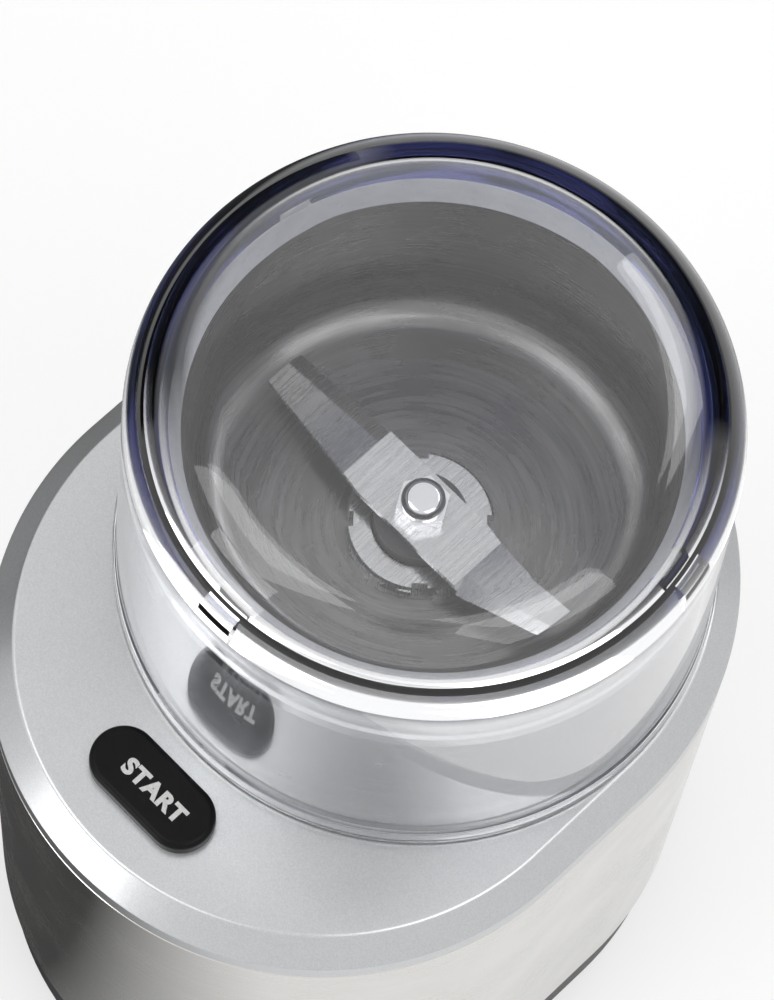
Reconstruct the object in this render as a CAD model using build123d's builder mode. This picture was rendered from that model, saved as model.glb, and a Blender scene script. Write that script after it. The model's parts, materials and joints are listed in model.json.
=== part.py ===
from build123d import *

import os
from math import cos, radians, sin

# Electric spice grinder: a racetrack-shaped body with the motor, a lift-out steel bowl with its own
# blade, and a clear lid. Millimetres. The origin is on the resting surface under the middle of the
# body, +Z is up and the start button is towards -Y. The bowl and the motor share one upright axis.

os.makedirs("parts", exist_ok=True)

# --- Body and deck ---
body_radius = 63.0  # end radius of the racetrack-shaped sleeve
body_stretch = 25.0  # distance between the centres of its two round ends
deck_height = 136.0  # top of the deck above the resting surface
bevel_run = 5.0  # width of the sloping edge in plan
bevel_drop = 5.5  # height of the sloping edge
bevel_round = 1.2
deck_band = 4.5  # upright band of the deck below the slope
deck_skin = 2.8  # thickness of the deck plate
deck_wall = 2.6  # thickness of the deck's upright band
deck_lip = 3.0  # depth of the lip that centres the deck in the housing
sleeve_sheet = 0.8  # stainless sheet
seam = 0.4  # visible joint lines
housing_wall = 2.4
plinth_inset = 1.2  # the plinth stands back from the sleeve by this
plinth_height = 17.0
plinth_wall = 2.5
base_thickness = 2.5
base_rebate = 1.2  # width of the step in the plinth's wall that the base plate lies in
plinth_edge = 0.8  # chamfer round the foot of the plinth

# --- Fits ---
hand_fit = 0.3  # round whatever lifts out or is pressed
seat_gap = 0.3  # between two seats that only touch
running_fit = 0.05  # radial, shaft in bearing
assembly_gap = 0.1  # between pieces that are fixed together

# --- Feet, screws and columns ---
foot_radius = 8.0
foot_height = 3.0
foot_recess = 1.5  # depth of the pocket that the foot sits in
foot_pad_rim = 2.0  # the floor is raised this far round the pocket
foot_stem_radius = 2.8
foot_stem_proud = 2.0  # the stem stands above the base plate's floor by this
foot_inset = 17.0  # from the outside of the body to the middle of the foot
foot_angle = 48.0
screw_radius = 1.75  # body and deck screws
screw_head_radius = 3.3
screw_head_height = 2.2
screw_head_set = 0.6  # the head lies this deep in its counterbore
screw_grip = 12.0  # length in the boss
screw_end_gap = 1.0
column_radius = 3.8
column_clearance = 0.6  # between the columns and the wall of the well
column_angle = 24.0
column_height = 22.0
column_cap = 2.0  # left over the screw hole
ledge_height = 8.0
gusset_thickness = 1.8

# --- Vents, cord gland and electrical pieces ---
vent_length = 44.0
vent_width = 3.0
vent_bar_width = 4.0  # left between two slots
vent_count = 7
vent_rib_gap = 2.0  # from the slots' ends to the rib beside them
gland_height = 12.0  # centre of the cord gland above the resting surface
gland_reach = 5.0  # half the width of its square neck
gland_bore_radius = 3.4
gland_flange_reach = 6.2
gland_flange_thickness = 1.3
gland_flat_depth = 1.4  # flat in the plinth's back wall
gland_inside = 3.0  # length inside the plinth's wall
terminal_width = 24.0
terminal_depth = 11.0
terminal_height = 9.0
terminal_poles = 3
terminal_edge = 0.8
terminal_hole_radius = 2.2
terminal_slit = 1.2
terminal_gap = 5.0  # from the last air slot
capacitor_length = 18.0
capacitor_width = 8.0
capacitor_height = 11.0
capacitor_corner = 1.5
capacitor_edge = 0.8
capacitor_gap = 10.0  # from the slots' ends

# --- Bowl (heights above the deck; the bowl and the lid take their width from the deck's flat top) ---
lid_margin = 0.5  # flat deck left outside the lid's foot
rim_inset = 5.5  # from the lid's foot to the outside of the bowl's rim
rim_width = 4.0  # from the outside of the rim to the cup's bore
cup_sheet = 0.8
cup_corner = 9.0
cup_floor = 13.2  # underside of the cup's floor
rim_height = 64.0
lip_height = 9.0  # from the cup's edge to the top of the lip
lip_flare = 2.5  # the lip widens by this from the cup's edge to the top
rim_depth = 17.0
rim_round = 1.0
rim_key_width = 6.0
rim_key_depth = 1.6
rim_key_wall = 0.2  # from the rim's outside to the key
rim_key_height = 2.6
rim_key_angle = 103.0  # each side of the front key
sleeve_foot = 1.4  # lower edge of the bowl's sleeve
bowl_sheet = 0.75
band_drop = 1.6  # from the top of the lip to the top of the polished band
band_height = 13.2
band_bead = 4.6
band_bead_proud = 0.4
band_step = 0.1  # the band's upper part stands back from the sleeve by this
base_flange_height = 6.6
base_flange_set = 0.2
base_skin = 2.4
skirt_room = 2.0  # round the driven coupling
skirt_wall = 2.0
skirt_lift = 2.0  # the skirt ends above the plug by this
plug_round = 1.0
hub_radius = 8.8
hub_shoulder = 14.0
hub_top = 20.0
hub_rib_count = 6
hub_rib_thickness = 1.8
nut_radius = 14.0
nut_height = 3.2
nut_notches = 4
nut_notch_width = 3.0
nut_edge = 0.5
bush_radius = 6.0
bush_length = 13.0
seal_height = 2.0
seal_lip = 0.8
washer_room = 1.0

# --- Well for the bowl ---
well_step = 0.4  # the well is narrower than the cup's bore by this
well_depth = 9.5
well_wall = 2.4
well_skin = 2.5
well_edge = 0.5
key_width = 5.0
key_depth = 1.2
key_count = 3
collar_radius = 6.4  # raised collar that keeps spills from the motor
collar_wall = 1.4
collar_height = 2.2
collar_clearance = 0.8
shaft_seal_set = 0.4

# --- Motor ---
shaft_radius = 3.0
core_shaft_radius = 4.0  # thicker stretch that carries the core
shaft_edge = 0.5
shaft_tail = 3.0  # length below the lower bracket
shaft_room = 1.5  # round the shaft in the upper bracket
stack_height = 32.0
stator_width = 62.0
stator_depth = 58.0
stator_bore = 18.6
yoke_side = 7.2  # iron beside the windows
window_depth = 8.9
window_offset = 18.15
pole_coil_inner = 14.4  # the field coils lie between this distance from the axis and the window's end
pole_coil_gap = 0.4
coil_overhang = 8.0
coil_corner = 1.0
clamp_inset = 4.0  # the clamp bolts' distance from the stator's sides, and the corners' radius
clamp_bolt_radius = 2.0
clamp_leg_radius = 3.6
armature_radius = 18.0
armature_slots = 10
slot_width = 4.0
slot_depth = 7.0
slot_mouth = 1.4
slot_corner = 1.0
slot_liner = 0.3
tooth_tip = 1.8
winding_head_radius = 13.2
winding_head_length = 8.0
winding_head_round = 3.0
winding_sleeve = 0.6
commutator_radius = 11.0
commutator_length = 13.0
commutator_bars = 20
commutator_slit = 0.5
riser_proud = 1.4
riser_length = 2.0
riser_gap = 3.5  # from the commutator to the winding heads
brush_room = 6.5  # from the commutator to the lower bracket
brush_width = 6.0
brush_height = 5.0
brush_length = 11.0
brush_wrap = 1.0  # the brushes are worn this far round the commutator
brush_holder_gap = 1.6
brush_holder_length = 17.0
brush_holder_wall = 2.6
brush_holder_corner = 1.0
brush_foot_set = 1.0
bearing_radius = 8.0
bearing_length = 6.5
bearing_shell = 2.6
bearing_edge = 0.3
bracket_sheet = 2.5
bracket_hole_radius = 4.0
bracket_hole_reach = 21.0
fan_gap = 2.0  # above the winding heads
fan_clearance = 3.6  # below the upper bearing's shell
fan_radius = 24.0
fan_blades = 9
fan_height = 7.5
fan_sheet = 1.4
fan_hub_wall = 3.0
fan_vane_inset = 0.8
damper_radius = 6.5
damper_gap = 4.0  # from the dampers to the columns
damper_angle = 19.0
damper_neck = 4.4
damper_flange = 2.0
ear_margin = 1.3  # bracket left round the dampers
motor_screw_radius = 2.0
motor_screw_head = 4.0
motor_boss_radius = 5.5
motor_boss_length = 5.0

# --- Drive coupling ---
dog_core_radius = 6.6
dog_tip_radius = 9.4
dog_root = 1.0  # overlap of each tooth with the core
dog_width = 3.4
dog_count = 6
dog_height = 5.6
dog_edge = 0.5
dog_hub_height = 1.6
dog_shaft_set = 1.0  # the shaft ends below the dog's top by this
socket_radius = 13.0
socket_web = 2.6
socket_edge = 0.8

# --- Blade ---
blade_wall_gap = 9.0  # from the blade's tips to the cup's wall
blade_lift = 2.2  # above the hub
blade_root_width = 13.0
blade_tip_width = 8.5
blade_sheet = 1.6
blade_bend = 15.0  # distance of the bends from the axis
blade_shoulder = 10.5  # where the taper starts
blade_rise = 7.0  # one tip is this high, the other is half as low
blade_edge = 0.4  # thickness left at the ground side
grind_width = 3.2
blade_collar_radius = 5.2
blade_collar_height = 1.4
blade_stud_radius = 2.5
blade_stud_proud = 4.8
blade_nut_radius = 5.2
blade_nut_flats = 3.6  # height of its hexagon
blade_nut_height = 6.0
blade_nut_dome = 4.2
blade_nut_round = 1.8
blade_nut_bore = 5.1  # depth

# --- Lid (heights above the deck) ---
lid_skin = 2.4
lid_rise = 18.8  # from the top of the bowl's lip to the top of the lid
lid_bead_height = 5.6
lid_bead_proud = 0.6
lid_draft = 1.9  # the skirt leans in by this from the foot to the shoulder
lid_shoulder_radius = 17.5
lid_ring_step = 2.0  # the lid's bore is wider than the cup's by this
lid_foot_wall = 2.5
lid_clearance = 0.5
lid_notch_depth = 3.0

# --- Start button, its guide and the switches ---
button_inset = 19.4  # from the front of the body to the middle of the button
button_end_radius = 6.55
button_stretch = 15.3
button_proud = 3.5
button_travel = 2.5
button_edge = 1.3
button_gap = 0.5
button_flange = 1.3
button_flange_thickness = 2.0
button_stem_radius = 2.0
guide_drop = 15.2  # from the deck's underside to the underside of the guide's plate
guide_plate = 2.4
guide_wall = 1.6
guide_corner = 2.8
post_x = 21.0
post_row_gap = 19.0  # from the front posts to the rear ones
post_radius = 3.2
board_drop = 11.5  # from the guide's plate to the underside of the board
board_sheet = 1.6
board_margin = 4.0
board_corner = 2.0
board_screw_radius = 1.4
board_screw_head = 2.6
board_screw_head_height = 1.6
board_screw_grip = 6.0
switch_length = 14.0
switch_width = 6.4
switch_height = 4.4
switch_corner = 0.8
plunger_radius = 1.3
plunger_proud = 1.6
spring_wire = 0.4
spring_turns = 5
pin_flange_radius = 3.6
pin_flange_thickness = 1.6
pin_stem_radius = 0.8
pin_rise = 2.0

# --- Places worked out from the sizes above ---
end_y = body_stretch / 2
bowl_y = end_y
spindle = Axis((0, bowl_y, 0), (0, 0, 1))
radial_plane = Plane((0, bowl_y, 0), x_dir=(1, 0, 0), z_dir=(0, -1, 0))

deck_flat_radius = body_radius - bevel_run
lid_radius = deck_flat_radius - lid_margin
rim_outer_radius = lid_radius - rim_inset
bowl_bore = rim_outer_radius - rim_width
well_radius = bowl_bore - well_step
lid_shoulder_reach = lid_radius - lid_draft
lid_ring_bore = bowl_bore + lid_ring_step
blade_reach = bowl_bore - blade_wall_gap

plinth_radius = body_radius - plinth_inset
base_radius = plinth_radius - plinth_wall + base_rebate
vent_spacing = vent_width + vent_bar_width
plinth_top = foot_height + plinth_height
base_floor = foot_height + base_thickness
foot_reach = body_radius - foot_inset
sleeve_bottom = plinth_top + seam
band_bottom = deck_height - bevel_drop - deck_band
body_sleeve_top = band_bottom - seam
housing_radius = body_radius - sleeve_sheet - assembly_gap
housing_inside = housing_radius - housing_wall
cavity_radius = body_radius - deck_wall
deck_underside = deck_height - deck_skin
column_reach = well_radius + well_wall + column_clearance + column_radius

well_floor = deck_height - well_depth
well_underside = well_floor - well_skin
boss_end = well_underside - motor_boss_length
bracket_top = boss_end - damper_flange
bracket_bottom = bracket_top - bracket_sheet
bearing_shell_bottom = bracket_top - bearing_length - bearing_shell / 2
fan_bottom = bearing_shell_bottom - fan_clearance - fan_height
head_top = fan_bottom - fan_gap
stack_top = head_top - winding_head_length - assembly_gap
stack_bottom = stack_top - stack_height
head_bottom = stack_bottom - assembly_gap - winding_head_length
commutator_top = head_bottom - riser_gap
commutator_bottom = commutator_top - commutator_length
lower_bracket_top = commutator_bottom - brush_room
lower_bracket_bottom = lower_bracket_top - bracket_sheet
brush_z = commutator_bottom + commutator_length / 2
shaft_bottom = lower_bracket_bottom - shaft_tail
clamp_bolt_x = stator_width / 2 - clamp_inset
clamp_bolt_y = stator_depth / 2 - clamp_inset
window_width = stator_width - 2 * yoke_side
pole_coil_outer = window_width / 2 - pole_coil_gap
damper_reach = column_reach - column_radius - damper_gap - damper_radius
damper_x = damper_reach * cos(radians(damper_angle))
damper_y = damper_reach * sin(radians(damper_angle))

dog_bottom = well_floor + collar_height + collar_clearance
dog_base = dog_bottom + dog_hub_height
dog_top = dog_base + dog_height
shaft_top = dog_top - dog_shaft_set
socket_top = dog_top + seat_gap + socket_web

cup_top = rim_height - lip_height
sleeve_top = rim_height - band_drop - band_height - seam
lid_height = rim_height + lid_rise
plug_radius = well_radius - hand_fit
plug_bottom = well_floor + seat_gap
flange_bottom = deck_height + sleeve_foot - base_flange_set
base_top = deck_height + base_flange_height
sleeve_inner = rim_outer_radius + assembly_gap / 2
bowl_outer = sleeve_inner + bowl_sheet
cup_underside = deck_height + cup_floor
washer_bottom = socket_top + assembly_gap
hub_bottom = washer_bottom + washer_room
bush_bottom = hub_bottom
seal_bottom = bush_bottom + bush_length
blade_seat = deck_height + hub_top + blade_lift
rim_key_reach = rim_outer_radius - rim_key_wall - rim_key_depth / 2
lid_rest = deck_height + rim_height + seat_gap

button_y = button_inset - end_y - body_radius
pin_y = bowl_y - lid_radius + lid_foot_wall / 2
pin_radius = lid_foot_wall / 2 - hand_fit
button_top = deck_height + button_proud
flange_top = deck_underside - seat_gap
guide_plate_height = deck_underside - guide_drop
guide_floor = guide_plate_height + guide_plate
board_height = guide_plate_height - board_drop
start_plunger_top = board_height + board_sheet + switch_height + plunger_proud
button_stem_bottom = start_plunger_top + button_travel + seat_gap
pin_flange_top = deck_underside - pin_rise - seat_gap
pin_stem_bottom = start_plunger_top + seat_gap
post_y = (button_y + pin_y) / 2


def level(height):
    """Horizontal plane whose origin is on the bowl's axis."""
    return Plane((0, bowl_y, height))


def racetrack(end_radius, mode=Mode.ADD):
    """Plan outline of the body for a given end radius."""
    SlotCenterToCenter(body_stretch, 2 * end_radius, rotation=90, mode=mode)


def corner_spots(reach, angle):
    """Four places at a distance and an angle from the centres of the round ends."""
    across = reach * cos(radians(angle))
    along = end_y + reach * sin(radians(angle))
    return [
        Location((across, along, 0), (0, 0, angle)),
        Location((-across, along, 0), (0, 0, 180 - angle)),
        Location((-across, -along, 0), (0, 0, 180 + angle)),
        Location((across, -along, 0), (0, 0, -angle)),
    ]


def pan_screws(spots, head_top_z, head_radius, head_height, radius, length):
    """Upward pan-head screws; the height is that of the head's bearing face."""
    with BuildPart() as screws:
        with BuildSketch(Plane.XY.offset(head_top_z)):
            with Locations(*spots):
                Circle(head_radius)
        extrude(amount=-head_height)
        fillet(screws.edges().group_by(Axis.Z)[0], head_height / 3)
        with BuildSketch(Plane.XY.offset(head_top_z - head_height)):
            with Locations(*spots):
                Rectangle(1.3 * head_radius, head_radius / 4)
                Rectangle(head_radius / 4, 1.3 * head_radius)
        extrude(amount=head_height / 2, mode=Mode.SUBTRACT)
        with BuildSketch(Plane.XY.offset(head_top_z)):
            with Locations(*spots):
                Circle(radius)
        extrude(amount=length)
    return screws


def coil_spring(x, y, bottom, top, coil_radius):
    """Compression spring between two heights."""
    height = top - bottom - spring_wire
    with BuildPart() as spring:
        with BuildLine():
            turns = Helix(
                pitch=height / spring_turns,
                height=height,
                radius=coil_radius,
                center=(x, y, bottom + spring_wire / 2),
            )
        with BuildSketch(Plane(turns @ 0, z_dir=turns % 0)):
            RegularPolygon(spring_wire / 2, side_count=6)
        sweep(path=turns, is_frenet=True)
    return spring


def below_the_top(reach):
    """Outline round the cord gland's middle that is closed below and ends at the plinth's top."""
    with Locations((0, -reach)):
        Rectangle(2 * reach, reach + plinth_top - gland_height, align=(Align.CENTER, Align.MIN))


feet_spots = corner_spots(foot_reach, foot_angle)
column_spots = corner_spots(column_reach, column_angle)
gusset_length = housing_inside + housing_wall / 2 - column_reach
clamp_spots = [
    Location((sx * clamp_bolt_x, bowl_y + sy * clamp_bolt_y, 0)) for sx in (-1, 1) for sy in (-1, 1)
]
damper_spots = [
    Location((sx * damper_x, bowl_y + sy * damper_y, 0)) for sx in (-1, 1) for sy in (-1, 1)
]
post_spots = [
    Location((sx * post_x, post_y + sy * post_row_gap / 2, 0)) for sx in (-1, 1) for sy in (-1, 1)
]

# --- Rubber feet: pads with a stem that is pushed through the base plate ---
with BuildPart() as rubber_feet:
    with BuildSketch():
        with Locations(*feet_spots):
            Circle(foot_radius)
    extrude(amount=foot_height + foot_recess - assembly_gap)
    chamfer(rubber_feet.edges().group_by(Axis.Z)[0], foot_height / 4)
    with BuildSketch(Plane.XY.offset(foot_height)):
        with Locations(*feet_spots):
            Circle(foot_stem_radius)
    extrude(amount=base_thickness + foot_stem_proud)
rubber_feet.part.label = "rubber_feet"
export_step(rubber_feet.part, "parts/rubber_feet.step")

# --- Plinth: the moulded ring that stands below the sleeve ---
gland_outside = Plane((0, end_y + body_radius, gland_height), x_dir=(1, 0, 0), z_dir=(0, -1, 0))
with BuildPart() as plinth_ring:
    with BuildSketch(Plane.XY.offset(foot_height)):
        racetrack(plinth_radius)
    extrude(amount=plinth_height)
    chamfer(plinth_ring.edges().group_by(Axis.Z)[0], plinth_edge)
    with BuildSketch(Plane.XY.offset(foot_height)):
        racetrack(plinth_radius - plinth_wall)
    extrude(amount=plinth_height, mode=Mode.SUBTRACT)
    # step that the base plate is pressed into by its screws
    with BuildSketch(Plane.XY.offset(foot_height)):
        racetrack(base_radius + assembly_gap)
    extrude(amount=base_thickness + assembly_gap, mode=Mode.SUBTRACT)
    # flat and slot at the back, open to the top, that the cord gland slides down into
    with BuildSketch(gland_outside):
        below_the_top(gland_flange_reach + assembly_gap)
    extrude(amount=plinth_inset + gland_flat_depth, mode=Mode.SUBTRACT)
    with BuildSketch(gland_outside):
        below_the_top(gland_reach + assembly_gap)
    extrude(amount=plinth_inset + 2 * plinth_wall, mode=Mode.SUBTRACT)
plinth_ring.part.label = "plinth_ring"
export_step(plinth_ring.part, "parts/plinth_ring.step")

# --- Base plate: the vented floor inside the plinth ---
with BuildPart() as base_plate:
    with BuildSketch(Plane.XY.offset(foot_height)):
        racetrack(base_radius)
    extrude(amount=base_thickness)
    # screw columns, each with a gusset that ends just inside the plinth's wall
    with BuildSketch(Plane.XY.offset(base_floor)):
        with Locations(*column_spots):
            Circle(column_radius)
            Rectangle(gusset_length, gusset_thickness, align=(Align.MIN, Align.CENTER))
        racetrack(plinth_radius - plinth_wall - assembly_gap, mode=Mode.INTERSECT)
    extrude(amount=plinth_top - base_floor)
    # pockets under the feet are raised inside so that the floor keeps its thickness
    with BuildSketch(Plane.XY.offset(base_floor)):
        with Locations(*feet_spots):
            Circle(foot_radius + foot_pad_rim)
    extrude(amount=foot_recess)
    with BuildSketch(Plane.XY.offset(foot_height)):
        with Locations(*feet_spots):
            Circle(foot_radius + assembly_gap)
    extrude(amount=foot_recess, mode=Mode.SUBTRACT)
    with BuildSketch(Plane.XY.offset(foot_height)):
        with Locations(*feet_spots):
            Circle(foot_stem_radius + assembly_gap)
    extrude(amount=base_thickness + foot_recess, mode=Mode.SUBTRACT)
    # counterbored screw holes from below
    with Locations(Plane((0, 0, foot_height), x_dir=(1, 0, 0), z_dir=(0, 0, -1))):
        with Locations(*column_spots):
            CounterBoreHole(
                radius=screw_radius + assembly_gap,
                counter_bore_radius=screw_head_radius + hand_fit,
                counter_bore_depth=screw_head_height + screw_head_set,
                depth=plinth_height,
            )
    # air slots under the motor, with stiffening ribs beside them
    with BuildSketch(Plane((0, bowl_y, foot_height))):
        with GridLocations(0, vent_spacing, 1, vent_count):
            SlotOverall(vent_length, vent_width)
    extrude(amount=base_thickness, mode=Mode.SUBTRACT)
    with BuildSketch(Plane((0, bowl_y, base_floor))):
        with GridLocations(vent_length + 2 * vent_rib_gap, 0, 2, 1):
            Rectangle(gusset_thickness, vent_spacing * vent_count)
    extrude(amount=base_thickness)
base_plate.part.label = "base_plate"
export_step(base_plate.part, "parts/base_plate.step")

base_screws = pan_screws(
    column_spots,
    foot_height + screw_head_height + screw_head_set,
    screw_head_radius,
    screw_head_height,
    screw_radius,
    plinth_height + screw_grip / 2,
)
base_screws.part.label = "base_screws"
export_step(base_screws.part, "parts/base_screws.step")

# --- Cord gland: a square-necked bush in the slot at the back of the plinth ---
gland_face = end_y + plinth_radius - gland_flat_depth + assembly_gap
gland_depth = plinth_wall + gland_inside
outward = Plane((0, gland_face, gland_height), x_dir=(-1, 0, 0), z_dir=(0, 1, 0))
with BuildPart() as cord_gland:
    with BuildSketch(outward):
        below_the_top(gland_flange_reach)
    extrude(amount=gland_flange_thickness)
    fillet(cord_gland.edges().group_by(Axis.Y)[-1], gland_flange_thickness / 2)
    with BuildSketch(outward):
        below_the_top(gland_reach)
    extrude(amount=-gland_depth)
    with BuildSketch(outward):
        Circle(gland_bore_radius)
    extrude(amount=gland_depth, both=True, mode=Mode.SUBTRACT)
cord_gland.part.label = "cord_gland"
export_step(cord_gland.part, "parts/cord_gland.step")

# --- Terminal block and suppression capacitor on the base plate ---
terminal_y = bowl_y + vent_spacing * vent_count / 2 + terminal_gap + terminal_depth / 2
with BuildPart() as terminal_block:
    with BuildSketch(Plane((0, terminal_y, base_floor + assembly_gap))):
        Rectangle(terminal_width, terminal_depth)
    extrude(amount=terminal_height)
    chamfer(terminal_block.edges().group_by(Axis.Z)[-1], terminal_edge)
    with BuildSketch(Plane((0, terminal_y, base_floor + terminal_height))):
        with GridLocations(terminal_width / terminal_poles, 0, terminal_poles, 1):
            Circle(terminal_hole_radius)
    extrude(amount=-terminal_height / 2, both=True, mode=Mode.SUBTRACT)
    with BuildSketch(Plane((0, terminal_y, base_floor + terminal_height))):
        with GridLocations(terminal_width / terminal_poles, 0, terminal_poles - 1, 1):
            Rectangle(terminal_slit, 2 * terminal_depth)
    extrude(amount=-terminal_height / 4, both=True, mode=Mode.SUBTRACT)
terminal_block.part.label = "terminal_block"
export_step(terminal_block.part, "parts/terminal_block.step")

capacitor_x = vent_length / 2 + capacitor_gap + capacitor_width / 2
with BuildPart() as suppression_capacitor:
    with BuildSketch(Plane((capacitor_x, bowl_y, base_floor + assembly_gap))):
        RectangleRounded(capacitor_width, capacitor_length, capacitor_corner)
    extrude(amount=capacitor_height)
    fillet(suppression_capacitor.edges().group_by(Axis.Z)[-1], capacitor_edge)
suppression_capacitor.part.label = "suppression_capacitor"
export_step(suppression_capacitor.part, "parts/suppression_capacitor.step")

# --- Inner housing: the moulded wall inside the sleeve ---
ledge_bottom = deck_underside - 2 * ledge_height - screw_grip / 2
with BuildPart() as inner_housing:
    with BuildSketch(Plane.XY.offset(plinth_top + assembly_gap)):
        racetrack(housing_radius)
        racetrack(housing_inside, mode=Mode.SUBTRACT)
    extrude(amount=band_bottom - plinth_top - 2 * assembly_gap)
    for bottom, height in (
        (plinth_top + assembly_gap, column_height),
        (ledge_bottom, ledge_height),
    ):
        with BuildSketch(Plane.XY.offset(bottom)):
            with Locations(*column_spots):
                Circle(column_radius)
                Rectangle(gusset_length, 2 * gusset_thickness, align=(Align.MIN, Align.CENTER))
        extrude(amount=height)
    with BuildSketch(Plane.XY.offset(plinth_top)):
        with Locations(*column_spots):
            Circle(screw_radius + assembly_gap)
    extrude(amount=column_height - column_cap, mode=Mode.SUBTRACT)
    with BuildSketch(Plane.XY.offset(ledge_bottom)):
        with Locations(*column_spots):
            Circle(screw_radius + assembly_gap)
    extrude(amount=ledge_height, mode=Mode.SUBTRACT)
inner_housing.part.label = "inner_housing"
export_step(inner_housing.part, "parts/inner_housing.step")

deck_screws = pan_screws(
    column_spots,
    ledge_bottom,
    screw_head_radius,
    screw_head_height,
    screw_radius,
    band_bottom + deck_band - ledge_bottom - screw_end_gap,
)
deck_screws.part.label = "deck_screws"
export_step(deck_screws.part, "parts/deck_screws.step")

# --- Stainless sleeve: one bent sheet with its butt joint at the back ---
with BuildPart() as steel_sleeve:
    with BuildSketch(Plane.XY.offset(sleeve_bottom)):
        racetrack(body_radius)
        racetrack(body_radius - sleeve_sheet, mode=Mode.SUBTRACT)
        with Locations((0, end_y + body_radius)):
            Rectangle(seam, 4 * sleeve_sheet, mode=Mode.SUBTRACT)
    extrude(amount=body_sleeve_top - sleeve_bottom)
steel_sleeve.part.label = "steel_sleeve"
export_step(steel_sleeve.part, "parts/steel_sleeve.step")

# --- Deck cover: sloping edge, well for the bowl, openings for the button and the lid's pin ---
with BuildPart() as deck_cover:
    with BuildSketch(Plane.XY.offset(band_bottom)):
        racetrack(body_radius)
    extrude(amount=deck_band)
    with BuildSketch(Plane.XY.offset(band_bottom + deck_band)):
        racetrack(body_radius)
    with BuildSketch(Plane.XY.offset(deck_height)):
        racetrack(deck_flat_radius)
    loft()
    fillet(deck_cover.edges().group_by(Axis.Z)[-1], bevel_round)
    with BuildSketch(Plane.XY.offset(band_bottom)):
        racetrack(cavity_radius)
    extrude(amount=deck_band, mode=Mode.SUBTRACT)
    with BuildSketch(Plane.XY.offset(band_bottom)):
        racetrack(deck_flat_radius - deck_wall)
    extrude(amount=deck_underside - band_bottom, mode=Mode.SUBTRACT)
    # inner lip that centres the cover in the housing
    with BuildSketch(Plane.XY.offset(band_bottom - deck_lip)):
        racetrack(housing_inside - assembly_gap)
        racetrack(housing_inside - assembly_gap - deck_wall, mode=Mode.SUBTRACT)
    extrude(amount=deck_lip + deck_band)
    # well
    with BuildSketch(level(well_underside)):
        Circle(well_radius + well_wall)
    extrude(amount=deck_underside - well_underside)
    with BuildSketch(level(well_floor)):
        Circle(well_radius)
        with PolarLocations(well_radius, key_count, start_angle=90):
            Rectangle(2 * key_depth, key_width, mode=Mode.SUBTRACT)
    extrude(amount=well_depth, mode=Mode.SUBTRACT)
    top_arcs = deck_cover.edges().filter_by(GeomType.CIRCLE).group_by(Axis.Z)[-1]
    chamfer(top_arcs.sort_by(SortBy.RADIUS)[:key_count], well_edge)
    with BuildSketch(level(well_floor)):
        Circle(collar_radius)
    extrude(amount=collar_height)
    with BuildSketch(level(well_underside)):
        Circle(collar_radius - collar_wall)
    extrude(amount=well_skin + collar_height, mode=Mode.SUBTRACT)
    # bosses for the motor, the deck screws and the switch carrier
    with BuildSketch(level(boss_end)):
        with GridLocations(2 * damper_x, 2 * damper_y, 2, 2):
            Circle(motor_boss_radius)
            Circle(motor_screw_radius, mode=Mode.SUBTRACT)
    extrude(amount=motor_boss_length)
    with BuildSketch(Plane.XY.offset(ledge_bottom + ledge_height + assembly_gap)):
        with Locations(*column_spots):
            Circle(column_radius)
            Circle(screw_radius + assembly_gap, mode=Mode.SUBTRACT)
    extrude(amount=deck_underside - ledge_bottom - ledge_height)
    with BuildSketch(Plane.XY.offset(guide_floor + assembly_gap)):
        with Locations(*post_spots):
            Circle(post_radius)
            Circle(board_screw_radius, mode=Mode.SUBTRACT)
    extrude(amount=deck_underside - guide_floor)
    # openings
    with BuildSketch(Plane((0, button_y, deck_underside))):
        SlotCenterToCenter(button_stretch, 2 * (button_end_radius + button_gap))
    extrude(amount=deck_skin, mode=Mode.SUBTRACT)
    with BuildSketch(Plane((0, pin_y, deck_underside))):
        Circle(pin_radius + hand_fit)
    extrude(amount=deck_skin, mode=Mode.SUBTRACT)
deck_cover.part.label = "deck_cover"
export_step(deck_cover.part, "parts/deck_cover.step")

# --- Shaft seal in the collar ---
with BuildPart() as deck_seal:
    with BuildSketch(level(well_floor - well_skin / 2)):
        Circle(collar_radius - collar_wall - assembly_gap)
        Circle(shaft_radius + running_fit, mode=Mode.SUBTRACT)
    extrude(amount=well_skin / 2 + collar_height - shaft_seal_set)
deck_seal.part.label = "deck_seal"
export_step(deck_seal.part, "parts/deck_seal.step")

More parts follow.
